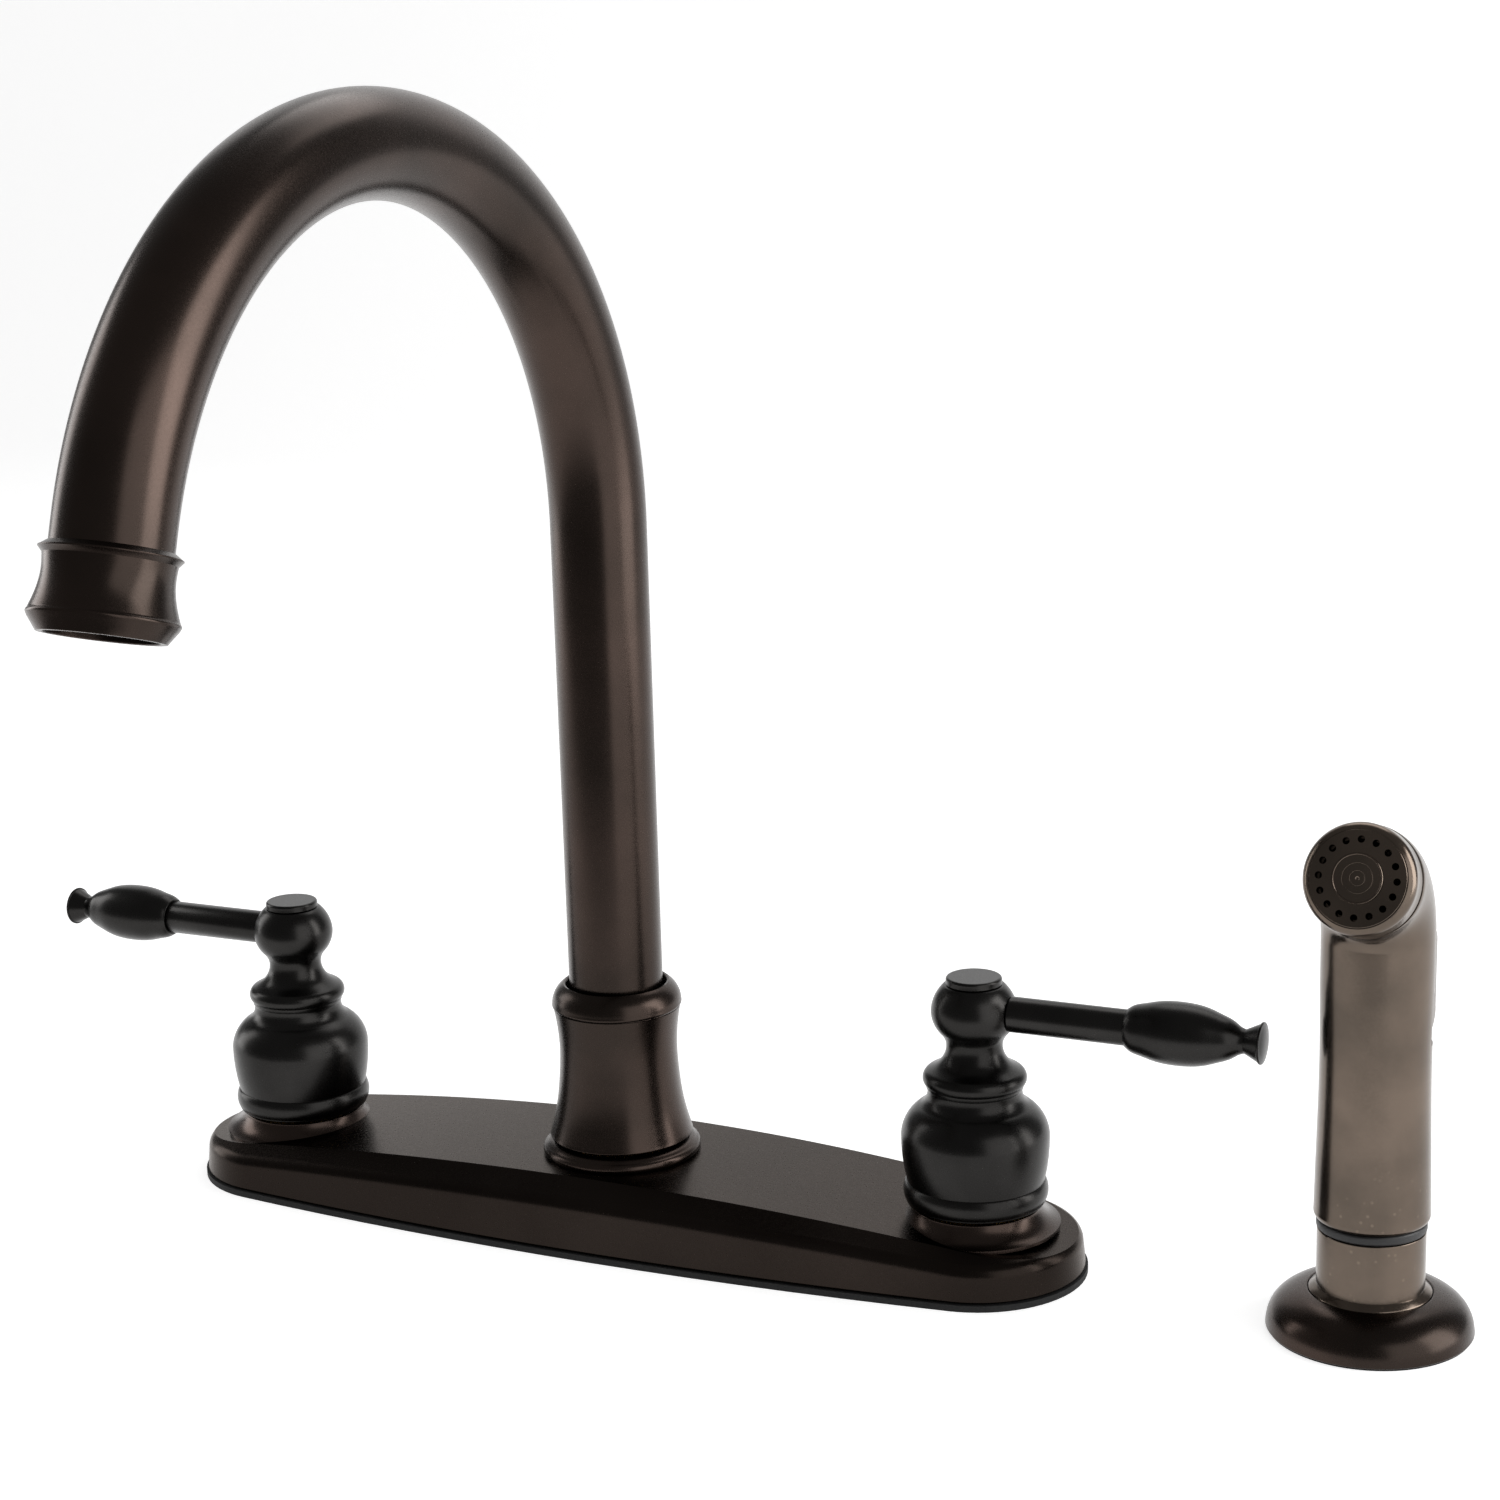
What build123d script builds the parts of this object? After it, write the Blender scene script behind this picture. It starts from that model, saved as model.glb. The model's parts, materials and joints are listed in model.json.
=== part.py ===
from build123d import *
import os
from math import cos, radians, sin, sqrt, tan

# Two handle kitchen faucet for a sink ledge with four holes: a swivelling high-arc spout and
# two quarter-turn lever handles on a crowned cover plate, and a side sprayer in its own guide.
# Millimetres, +Z up. The origin is on the spout's axis, on the ledge. +X is towards the cold
# handle and the sprayer, and -Y is towards the person at the sink.

# ------------------------------------------------------------------ layout
HANDLE_SPACING = 203.2      # handle axis to handle axis, the 8 inch drilling
SPRAYER_SPACING = 203.2     # spout axis to sprayer axis, the fourth hole
LEDGE_THICKNESS = 12.0      # ledge that the nuts below are drawn up against
HANDLE_X = HANDLE_SPACING / 2

# ------------------------------------------------------------------ clearances
FIT = 0.05                  # radial, screwed and pressed pieces
RUN = 0.08                  # radial, pieces that turn or slide in each other
PLAY = 0.05                 # axial, between faces that turn on each other

# ------------------------------------------------------------------ gasket and cover plate
GASKET_THICKNESS = 1.7
GASKET_LAND = 0.5           # raised inner land, leaves a shadow line round the edge
GASKET_LAND_INSET = 2.1
GASKET_OVERHANG = 0.6       # gasket past the plate's lower edge
SHANK_HOLE_R = 11.3
NIPPLE_HOLE_R = 8.0
PLATE_HALF_WIDTH = 33.5
PLATE_END_R = 27.9
PLATE_HEIGHT = 16.95
PLATE_DRAFT = 5.4           # degrees, the near-upright side
PLATE_WALL = 1.8
ROOF_HALF_WIDTH = 24.6      # flat top at mid length
ROOF_END_R = 11.2
ROOF_SLOPE = 29.0           # degrees, the bevel between the top and the side
CREASE_R = 4.0              # rounding where the bevel meets the side
CROWN_R = 950.0             # the top is crowned along its length
POST_HOLE_R = 11.6
VALVE_HOLE_R = 12.3
BOSS_WALL = 2.9             # the boss under each hole that takes the clamping load
SKIRT_R = 16.4              # little flared skirt under each bell
SKIRT_FLARE = 4.6           # how far it spreads into the plate
SKIRT_TOP = 18.0

# ------------------------------------------------------------------ waterway under the plate
FOOT_HEIGHT = 2.0
VALVE_R = 11.5
VALVE_TOP = 26.0
VALVE_BORE_R = 9.0
INLET_BORE_R = 5.0
CROSS_R = 4.6
CROSS_BORE_R = 3.4
CROSS_Z = 7.4
CROSS_ROOM = 0.5            # round the cross tube where the bosses straddle it
POST_R = 11.0
POST_BORE_R = 8.0
POST_THREAD = 7.1           # post inside the spout socket
SHANK_R = 11.0              # where the nut runs
SHANK_END_R = 10.45         # free end, half inch pipe thread
SHANK_RELIEF_R = 9.6
SHANK_RELIEF = 2.0          # groove between the two threads
SHANK_BORE_R = 6.0
SHANK_DROP = 50.0
NIPPLE_R = 6.55             # quarter inch pipe thread, for the sprayer's hose
NIPPLE_BORE_R = 3.5
NIPPLE_DROP = 28.0
WASHER_R = 17.0
WASHER_THICKNESS = 2.0
NUT_FLAT_R = 15.0           # half the width across flats
NUT_HEIGHT = 6.0

# ------------------------------------------------------------------ valves
SEAL_THICKNESS = 1.2
CARTRIDGE_FLANGE = 2.0
CARTRIDGE_FLANGE_R = 10.9
CARTRIDGE_NECK_R = 7.0
CARTRIDGE_NECK = 8.0
BONNET_FLAT_R = 12.7
BONNET_TOP = 3.0
STEM_R = 3.5
STEM_BOTTOM = 14.0
STEM_TOP = 48.0

# ------------------------------------------------------------------ spout
RING_RECESS = 0.28
RING_R = 21.2
RING_HEIGHT = 4.03
SOCKET_R = 14.4
SOCKET_HEIGHT = 17.1
SOCKET_BORE_R = 9.25
GLIDE_THICKNESS = 1.0
TAIL_FLANGE = 2.5
TAIL_FLANGE_R = 14.0
TAIL_BORE_R = 6.5
TAIL_SPIGOT = 8.5
O_RING_R = 0.6
SLEEVE_GAP = 0.9            # shadow gap between the base ring and the sleeve
SLEEVE_HEIGHT = 42.2
SLEEVE_FOOT_R = 19.2
SLEEVE_WAIST_R = 15.7
SLEEVE_BEAD_R = 17.25
SLEEVE_RIM_R = 14.0
SLEEVE_RIM_DEPTH = 4.0
SLEEVE_ROOM = 0.42          # round the tube inside the sleeve
TUBE_R = 12.43
TUBE_WALL = 1.43
TUBE_RISE = 188.0           # height where the bend begins
BEND_R = 100.15
BEND_ANGLE = 162.6          # the outlet leans out 17.4 degrees from upright
SPOUT_YAW = 1.06            # degrees, as the spout stands in its swivel
TUBE_END = 12.0             # straight tube past the bend
OUTLET_START = 4.2          # where the outlet collar begins, from the end of the bend
OUTLET_LENGTH = 17.9
OUTLET_BEAD_R = 14.34
OUTLET_WAIST_R = 13.15
OUTLET_LIP_R = 15.3
OUTLET_RIM_R = 12.9
OUTLET_BORE_R = 11.6
AERATOR_WASHER = 1.0
AERATOR_WALL = 1.7
SCREEN_THICKNESS = 0.9
SCREEN_PITCH = 3.3
SCREEN_HOLE_R = 1.45

# ------------------------------------------------------------------ diverter
CAGE_R = 6.5
CAGE_SEAT = 12.0
PISTON_R = 4.2
PISTON_LENGTH = 9.0
PISTON_TRAVEL = 3.0

# ------------------------------------------------------------------ handles
HUB_GAP = 1.0               # shadow gap between the skirt and the bell
BELL_LIP_R = 17.7
BELL_R = 18.9
BELL_BORE_R = 15.8
HUB_WAIST_R = 12.1
HUB_COLLAR_R = 13.2
HUB_NECK_R = 7.15
BALL_R = 10.93
BALL_TOP_R = 7.6
LEVER_RISE = 50.4           # bell's lower edge to the lever's axis
SPOT_FACE_R = 4.95
SPOT_FACE_AT = 9.7
ROD_R = 4.5
PIN_R = 3.0                 # screwed ends of the rod
PIN_LENGTH = 11.0
GRIP_R = 7.87
GRIP_NECK_R = 3.0
GRIP_BUTTON_R = 5.23
GRIP_LENGTH = 34.8
LEVER_CLEARANCE = 12.6      # from the cold lever's end to the sprayer in the next hole
CAP_R = 7.15
CAP_HEIGHT = 2.0
CAP_TOP_R = 6.4
CAP_SPIGOT_R = 5.0
CAP_SPIGOT = 4.8
SCREW_R = 2.0
SCREW_HEAD_R = 3.7
SCREW_HEAD = 3.0

# ------------------------------------------------------------------ sprayer
FLANGE_PAD = 0.5
FLANGE_PAD_R = 24.4
FLANGE_R = 24.95
FLANGE_HEIGHT = 10.5
FLANGE_WALL = 2.4
GUIDE_SEAT = 9.5
GUIDE_BASE_R = 14.8
GUIDE_BASE = 2.0
GUIDE_R = 13.0
GUIDE_TOP = 26.3
GUIDE_SHANK_R = 11.0
GUIDE_DROP = 35.0
GUIDE_BORE_R = 8.5
SOCKET_FLOOR = 14.0
COUPLING_TAIL_R = 10.87
COUPLING_R = 13.2
COUPLING_RING = 2.5
COUPLING_NECK_R = 9.0
COUPLING_NECK = 11.6
COUPLING_BORE_R = 4.0
WAND_FOOT_R = 13.9
WAND_GRIP_R = 13.14
WAND_R = 13.35
WAND_BORE_R = 4.2
ELBOW_Z = 111.6             # where the wand's and the head's axes cross
ELBOW_R = 18.0              # bend of the elbow at its centre line
HEAD_TILT = 19.0            # degrees above level
HEAD_LENGTH = 14.8          # elbow centre to the end of the wand's head
BEZEL_GAP = 0.9
BEZEL_DEPTH = 7.6
BEZEL_R = 13.2
BEZEL_SPIGOT_R = 10.85
BEZEL_SPIGOT = 5.3
HEAD_WASHER = 1.2
FACE_R = 11.35
FACE_THICKNESS = 2.6
NOZZLE_COUNT = 16
NOZZLE_R = 0.75
NOZZLE_RING_R = 9.02
CENTRE_R = 5.9
CENTRE_LIP = 0.4
CENTRE_STEM_R = 4.0

TRIGGER_R = 15.6
TRIGGER_WALL = 2.0
TRIGGER_BOTTOM = 75.5
TRIGGER_TOP = 100.0
TRIGGER_HALF_WIDTH = 11.7
TRIGGER_FRONT = 5.4
TRIGGER_ROOM = 0.6          # between the trigger's cheeks and the wand's core
PIVOT_Y = 6.0
PIVOT_Z = 96.5
PIVOT_R = 1.5
EAR_R = 3.0                 # round the pin
CORE_BACK = 8.5             # flat back of the wand behind the trigger
PLUNGER_Z = 86.0
PLUNGER_R = 2.5
PLUNGER_HEAD_R = 3.7
PLUNGER_HEAD = 1.3
PLUNGER_TRAVEL = 1.7
TRIGGER_SWING = 3.0         # the trigger's lower end, squeezed
PLUNGER_END = 12.5
SPRING_R = 3.5
SPRING_WALL = 0.7

# ------------------------------------------------------------------ heights that follow
PLATE_BOTTOM = GASKET_THICKNESS + GASKET_LAND
PLATE_TOP = PLATE_BOTTOM + PLATE_HEIGHT
FOOT_TOP = PLATE_BOTTOM + FOOT_HEIGHT
WASHER_BOTTOM = -LEDGE_THICKNESS - WASHER_THICKNESS
NUT_BOTTOM = WASHER_BOTTOM - NUT_HEIGHT
SHANK_STEP = NUT_BOTTOM - 1.0
BOSS_R = POST_HOLE_R + BOSS_WALL
VALVE_BOSS_R = VALVE_HOLE_R + BOSS_WALL
RING_SEAT = PLATE_TOP - RING_RECESS
RING_TOP = RING_SEAT + RING_HEIGHT
POST_TOP = RING_TOP + POST_THREAD
SOCKET_TOP = RING_TOP + SOCKET_HEIGHT
TAIL_BOTTOM = POST_TOP + 0.3
FLANGE_BOTTOM = SOCKET_TOP + GLIDE_THICKNESS + PLAY
FLANGE_TOP = FLANGE_BOTTOM + TAIL_FLANGE
SLEEVE_SHOULDER = FLANGE_TOP + PLAY + GLIDE_THICKNESS
SLEEVE_BOTTOM = RING_TOP + SLEEVE_GAP
SLEEVE_TOP = SLEEVE_BOTTOM + SLEEVE_HEIGHT
SLEEVE_BORE_R = SOCKET_R + FIT
TUBE_BORE_R = TUBE_R - TUBE_WALL
CARTRIDGE_R = VALVE_BORE_R - RUN
NECK_TOP = VALVE_TOP + CARTRIDGE_FLANGE + CARTRIDGE_NECK
BONNET_LIP = VALVE_TOP + CARTRIDGE_FLANGE
HUB_BOTTOM = SKIRT_TOP + HUB_GAP
LEVER_Z = HUB_BOTTOM + LEVER_RISE
HUB_TOP = LEVER_Z + 6.9
SCREW_SEAT = LEVER_Z - 9.4
COUPLING_BOTTOM = GUIDE_TOP + PLAY
COUPLING_TOP = COUPLING_BOTTOM + COUPLING_RING
WAND_BOTTOM = COUPLING_TOP + PLAY
FACE_AT = HEAD_LENGTH + BEZEL_GAP + BEZEL_DEPTH
LEVER_END = SPRAYER_SPACING - HANDLE_X - WAND_FOOT_R - LEVER_CLEARANCE
ROD_END = LEVER_END - GRIP_LENGTH


# ------------------------------------------------------------------ helpers
def outline(start, *steps):
    """Closed outline of a turned piece, as (radius, height). A step is a point for a line, two
    points in a tuple for an arc through the first, or a list of points for a smooth curve."""
    edges = []
    here = start
    for step in (*steps, start):
        if isinstance(step, list):
            edges.append(Spline(*[(r, 0, z) for r, z in (here, *step)]))
            here = step[-1]
        elif isinstance(step[0], tuple):
            (r1, z1), (r2, z2) = step
            edges.append(ThreePointArc((here[0], 0, here[1]), (r1, 0, z1), (r2, 0, z2)))
            here = step[1]
        else:
            edges.append(Line((here[0], 0, here[1]), (step[0], 0, step[1])))
            here = step
    return Face(Wire(edges))


def turned(start, *steps):
    """Solid of revolution about Z."""
    return revolve(outline(start, *steps), Axis.Z)


def disc(radius, bottom, top):
    """Upright cylinder between two heights."""
    return Pos(0, 0, bottom) * extrude(Circle(radius), top - bottom)


def ring(outer, inner, bottom, top):
    return disc(outer, bottom, top) - disc(inner, bottom, top)


def along_x(radius, start, end, height):
    """Cylinder along X at a height."""
    return Pos(start, 0, height) * Rot(0, 90, 0) * extrude(Circle(radius), end - start)


def along_y(radius, start, end, height):
    """Cylinder along Y at a height."""
    return Pos(0, start, height) * Rot(-90, 0, 0) * extrude(Circle(radius), end - start)


def block(x0, x1, y0, y1, z0, z1):
    return Pos((x0 + x1) / 2, (y0 + y1) / 2, (z0 + z1) / 2) * Box(x1 - x0, y1 - y0, z1 - z0)


def hex_nut(flat_r, bore_r, bottom, top):
    """Hexagon nut with its corners turned off at both faces."""
    body = Pos(0, 0, bottom) * extrude(RegularPolygon(flat_r, 6, major_radius=False), top - bottom)
    corner = flat_r / cos(radians(30))
    edge = (corner - flat_r) * 0.6
    trim = turned((0, bottom), (flat_r, bottom), (corner + 0.1, bottom + edge),
                  (corner + 0.1, top - edge), (flat_r, top), (0, top))
    return (body & trim) - disc(bore_r, bottom, top)


def both_sides(shape):
    """The same piece at the hot and at the cold handle, as separate solids."""
    return Pos(-HANDLE_X, 0, 0) * shape + Pos(HANDLE_X, 0, 0) * shape


def at_handle(side, shape):
    """Moves a piece drawn at the origin, lever along +X, to the hot (-1) or cold (+1) handle."""
    turn = 0 if side > 0 else 180
    return Pos(side * HANDLE_X, 0, 0) * Rot(0, 0, turn) * shape


def oval(half_width, end_r, height):
    """Face of the plate's four-arc oval: ends about the handle axes, tangent side arcs."""
    side_r = (HANDLE_X ** 2 + half_width ** 2 - end_r ** 2) / (2 * (half_width - end_r))
    k = end_r / (side_r - end_r)
    x = HANDLE_X * (1 + k)
    y = (side_r - half_width) * k
    tip = HANDLE_X + end_r
    back = ThreePointArc((x, y, height), (0, half_width, height), (-x, y, height))
    left = ThreePointArc((-x, y, height), (-tip, 0, height), (-x, -y, height))
    front = ThreePointArc((-x, -y, height), (0, -half_width, height), (x, -y, height))
    right = ThreePointArc((x, -y, height), (tip, 0, height), (x, y, height))
    return Face(Wire([back, left, front, right]))


# ------------------------------------------------------------------ gasket and cover plate
def deck_gasket():
    width = PLATE_HALF_WIDTH + GASKET_OVERHANG
    end = PLATE_END_R + GASKET_OVERHANG
    body = extrude(oval(width, end, 0), GASKET_THICKNESS, dir=(0, 0, 1))
    land = extrude(oval(width - GASKET_LAND_INSET, end - GASKET_LAND_INSET, 0), PLATE_BOTTOM,
                   dir=(0, 0, 1))
    body = body + land
    body -= disc(NIPPLE_HOLE_R, 0, PLATE_BOTTOM)
    body -= both_sides(disc(SHANK_HOLE_R, 0, PLATE_BOTTOM))
    return body


def cover_form(inset, bottom):
    """The plate's outside, or with an inset the hollow inside it."""
    top = PLATE_TOP + 2
    lean = tan(radians(PLATE_DRAFT))
    slope = tan(radians(ROOF_SLOPE))
    low = -inset - (bottom - PLATE_BOTTOM) * lean
    high = -inset - (top - PLATE_BOTTOM) * lean
    lower = loft([oval(PLATE_HALF_WIDTH + low, PLATE_END_R + low, bottom),
                  oval(PLATE_HALF_WIDTH + high, PLATE_END_R + high, top)], ruled=True)
    wide = (PLATE_TOP - bottom) / slope - inset
    narrow = (PLATE_TOP - top) / slope - inset
    roof = loft([oval(ROOF_HALF_WIDTH + wide, ROOF_END_R + wide, bottom),
                 oval(ROOF_HALF_WIDTH + narrow, ROOF_END_R + narrow, top)], ruled=True)
    form = lower & roof
    crease = [e for e in form.edges()
              if e.length > PLATE_END_R and bottom + 1 < e.center().Z < top - 1]
    form = fillet(crease, CREASE_R - inset)
    crown = Pos(0, 0, PLATE_TOP - inset - CROWN_R) * Rot(90, 0, 0)
    return form & crown * Cylinder(CROWN_R, 4 * PLATE_HALF_WIDTH)


def skirt():
    """Flared skirt on the plate under a bell, with the boss inside the plate."""
    foot = PLATE_TOP - HANDLE_X ** 2 / (2 * CROWN_R) - PLATE_WALL / 2
    spread = SKIRT_R + SKIRT_FLARE
    flare = SKIRT_TOP - foot
    return turned((VALVE_HOLE_R, FOOT_TOP), (VALVE_BOSS_R, FOOT_TOP), (VALVE_BOSS_R, foot),
                  (spread, foot),
                  ((SKIRT_R + 0.24 * SKIRT_FLARE, foot + 0.5 * flare), (SKIRT_R, SKIRT_TOP)),
                  (VALVE_HOLE_R, SKIRT_TOP))


def deck_plate():
    body = cover_form(0, PLATE_BOTTOM) - cover_form(PLATE_WALL, PLATE_BOTTOM)
    boss_top = PLATE_TOP - PLATE_WALL / 2
    body += disc(BOSS_R, FOOT_TOP, boss_top)
    body -= both_sides(disc(VALVE_HOLE_R, PLATE_BOTTOM, PLATE_TOP))
    body += both_sides(skirt())
    body -= disc(POST_HOLE_R, PLATE_BOTTOM, PLATE_TOP)
    body -= disc(RING_R + 0.3, RING_SEAT, PLATE_TOP + 1)
    half = CROSS_R + CROSS_ROOM
    body -= along_x(half, -HANDLE_X, HANDLE_X, CROSS_Z)
    body -= block(-HANDLE_X, HANDLE_X, -half, half, PLATE_BOTTOM, CROSS_Z)
    return body


# ------------------------------------------------------------------ waterway and shanks
def waterway():
    """Brass underbody: a valve body at each end, the spout's post, and the tubes between."""
    valve = disc(VALVE_R, PLATE_BOTTOM, VALVE_TOP) + disc(VALVE_BOSS_R, PLATE_BOTTOM, FOOT_TOP)
    post = disc(POST_R, PLATE_BOTTOM, POST_TOP) + disc(BOSS_R, PLATE_BOTTOM, FOOT_TOP)
    body = post + both_sides(valve) + along_x(CROSS_R, -HANDLE_X, HANDLE_X, CROSS_Z)
    body -= both_sides(disc(VALVE_BORE_R, FOOT_TOP, VALVE_TOP))
    body -= both_sides(disc(INLET_BORE_R, PLATE_BOTTOM, FOOT_TOP))
    body -= along_x(CROSS_BORE_R, -HANDLE_X, HANDLE_X, CROSS_Z)
    body -= disc(POST_BORE_R, FOOT_TOP, POST_TOP)
    body -= disc(NIPPLE_BORE_R, PLATE_BOTTOM, FOOT_TOP)
    return body


def supply_shank(side):
    step = SHANK_STEP - SHANK_RELIEF
    shank = disc(SHANK_R, SHANK_STEP, PLATE_BOTTOM) + disc(SHANK_END_R, -SHANK_DROP, step)
    shank += disc(SHANK_RELIEF_R, step - 1, SHANK_STEP + 1)
    shank -= disc(SHANK_BORE_R, -SHANK_DROP, PLATE_BOTTOM)
    return Pos(side * HANDLE_X, 0, 0) * shank


def hose_outlet_nipple():
    return ring(NIPPLE_R, NIPPLE_BORE_R, -NIPPLE_DROP, PLATE_BOTTOM)


def clamp_washer(bore_r):
    return ring(WASHER_R, bore_r, WASHER_BOTTOM, -LEDGE_THICKNESS)


def clamp_nut(bore_r):
    return hex_nut(NUT_FLAT_R, bore_r, NUT_BOTTOM, WASHER_BOTTOM)


# ------------------------------------------------------------------ valves
def cartridge():
    """Quarter-turn cartridge: inlet at its foot, a window to the cross tube, a guide neck."""
    bottom = FOOT_TOP + SEAL_THICKNESS
    body = disc(CARTRIDGE_R, bottom, VALVE_TOP)
    body += disc(CARTRIDGE_FLANGE_R, VALVE_TOP, BONNET_LIP)
    body += disc(CARTRIDGE_NECK_R, BONNET_LIP, NECK_TOP)
    body -= disc(INLET_BORE_R, bottom, STEM_BOTTOM - 3)
    body -= disc(STEM_R + RUN, STEM_BOTTOM - 0.3, NECK_TOP)
    window = FOOT_TOP + SEAL_THICKNESS + 0.6
    half = CROSS_BORE_R - 0.4
    body -= block(-VALVE_BORE_R, VALVE_BORE_R, -half, half, window, CROSS_Z + CROSS_BORE_R)
    return body


def cartridge_seal():
    return ring(VALVE_BORE_R - 0.4, INLET_BORE_R + 0.2, FOOT_TOP, FOOT_TOP + SEAL_THICKNESS)


def bonnet_nut():
    """Nut that holds the cartridge in and the plate's skirt down."""
    top = BONNET_LIP + BONNET_TOP
    body = hex_nut(BONNET_FLAT_R, CARTRIDGE_NECK_R + 0.2, SKIRT_TOP, top)
    return body - disc(VALVE_R + FIT, SKIRT_TOP, BONNET_LIP)


def stem():
    """Valve stem, tapped for the handle screw."""
    body = disc(STEM_R, STEM_BOTTOM, STEM_TOP)
    return body - disc(SCREW_R + FIT, STEM_TOP - 9, STEM_TOP)


# ------------------------------------------------------------------ handles
def hub():
    """Bell, collar and ball in one turned piece, open below, bored for stem, screw and cap."""
    b = HUB_BOTTOM
    c = LEVER_Z
    body = turned((0, b), (BELL_LIP_R, b),
                  ((BELL_LIP_R + 0.8, b + 2.8), (BELL_LIP_R + 0.05, b + 5.7)),
                  (BELL_LIP_R - 0.05, b + 5.9),
                  ((BELL_R - 0.28, b + 11.8), (BELL_R, b + 17.8)),
                  ((BELL_R - 1.15, b + 21.7), (HUB_WAIST_R + 2.47, b + 25.2)),
                  ((HUB_WAIST_R + 0.5, b + 27.0), (HUB_WAIST_R, b + 29.8)),
                  (HUB_WAIST_R + 0.2, b + 30.9),
                  ((HUB_COLLAR_R, b + 32.9), (HUB_COLLAR_R - 1.3, b + 34.9)),
                  [(HUB_NECK_R + 2.25, b + 36.4), (HUB_NECK_R + 0.35, c - 11.2),
                   (HUB_NECK_R, c - 9.0)],
                  ((HUB_NECK_R + 0.26, c - 7.6), (HUB_NECK_R + 1.19, c - 6.0)),
                  ((BALL_R - 0.73, c - 3.4), (BALL_R, c + 0.1)),
                  ((BALL_R - 0.98, c + 3.8), (BALL_TOP_R, HUB_TOP)), (0, HUB_TOP))
    roof = b + 19.5
    body -= turned((0, b), (BELL_BORE_R, b), (BELL_BORE_R, b + 15), (STEM_R + 5, roof), (0, roof))
    body -= disc(STEM_R + FIT, roof, STEM_TOP + 1)
    body -= disc(SCREW_R + 0.2, STEM_TOP, SCREW_SEAT)
    body -= disc(SCREW_HEAD_R + 0.3, SCREW_SEAT, HUB_TOP)
    body -= disc(CAP_SPIGOT_R + FIT, HUB_TOP - CAP_SPIGOT - 0.4, HUB_TOP)
    body -= along_x(SPOT_FACE_R, SPOT_FACE_AT, BALL_R + 1, c)
    body -= along_x(PIN_R + FIT, 0, BALL_R, c)
    return body


def lever_rod():
    inner = SCREW_HEAD_R + 1.3
    body = along_x(ROD_R, SPOT_FACE_AT + PLAY, ROD_END, LEVER_Z)
    ends = body.edges().filter_by(GeomType.CIRCLE)
    body = chamfer(ends, 0.35)
    return body + along_x(PIN_R, inner, ROD_END + PIN_LENGTH, LEVER_Z)


def lever_grip():
    """Long bulb, a thin neck and a button at its end, bored for the rod's screwed end."""
    d = ROD_END
    end = LEVER_END
    form = turned((0, d), (ROD_R + 0.4, d), (ROD_R + 0.55, d + 0.15),
                  [(GRIP_R - 2.25, d + 1.0), (GRIP_R - 1.35, d + 3.8), (GRIP_R - 0.45, d + 7.5),
                   (GRIP_R, d + 12.5), (GRIP_R - 0.17, d + 16.5), (GRIP_R - 0.8, d + 20.0),
                   (GRIP_R - 2.0, d + 23.5), (GRIP_R - 3.25, d + 26.5),
                   (GRIP_NECK_R + 0.2, d + 28.9), (GRIP_NECK_R, end - 5.1)],
                  (GRIP_BUTTON_R - 0.25, end - 1.25),
                  ((GRIP_BUTTON_R, end - 1.0), (GRIP_BUTTON_R - 0.25, end - 0.7)),
                  ((GRIP_BUTTON_R - 2.2, end - 0.2), (1.0, end)), (0, end))
    form -= disc(PIN_R + FIT, d, d + PIN_LENGTH + 0.3)
    return Pos(0, 0, LEVER_Z) * Rot(0, 90, 0) * form


def index_cap():
    """Plain cap over the handle screw."""
    b = HUB_TOP + 0.1
    top = HUB_TOP + CAP_HEIGHT
    body = turned((0, b), (CAP_R - 0.3, b), (CAP_R, b + 0.3), (CAP_R - 0.05, top - 0.75),
                  ((CAP_R - 0.25, top - 0.2), (CAP_TOP_R, top)), (0, top))
    return body + disc(CAP_SPIGOT_R, HUB_TOP - CAP_SPIGOT, b)


def handle_screw():
    shank = disc(SCREW_R, STEM_TOP - 7, SCREW_SEAT)
    head = disc(SCREW_HEAD_R, SCREW_SEAT, SCREW_SEAT + SCREW_HEAD)
    slot_z = SCREW_SEAT + SCREW_HEAD - 1.2
    slot = block(-SCREW_HEAD_R, SCREW_HEAD_R, -0.5, 0.5, slot_z, SCREW_SEAT + SCREW_HEAD)
    return shank + head - slot


# ------------------------------------------------------------------ spout
def spout_base_ring():
    b = RING_SEAT
    return turned((POST_R + 0.1, b), (RING_R - 0.6, b),
                  ((RING_R, b + 1.15), (RING_R - 1.0, b + 2.7)),
                  ((RING_R - 2.2, b + 3.6), (RING_R - 3.8, RING_TOP)), (POST_R + 0.1, RING_TOP))


def spout_socket():
    """Brass socket screwed on the post: clamps ring and plate, carries the spout's tail."""
    body = disc(SOCKET_R, RING_TOP, SOCKET_TOP)
    body -= disc(POST_R + FIT, RING_TOP, POST_TOP)
    return body - disc(SOCKET_BORE_R, POST_TOP, SOCKET_TOP)


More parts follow.
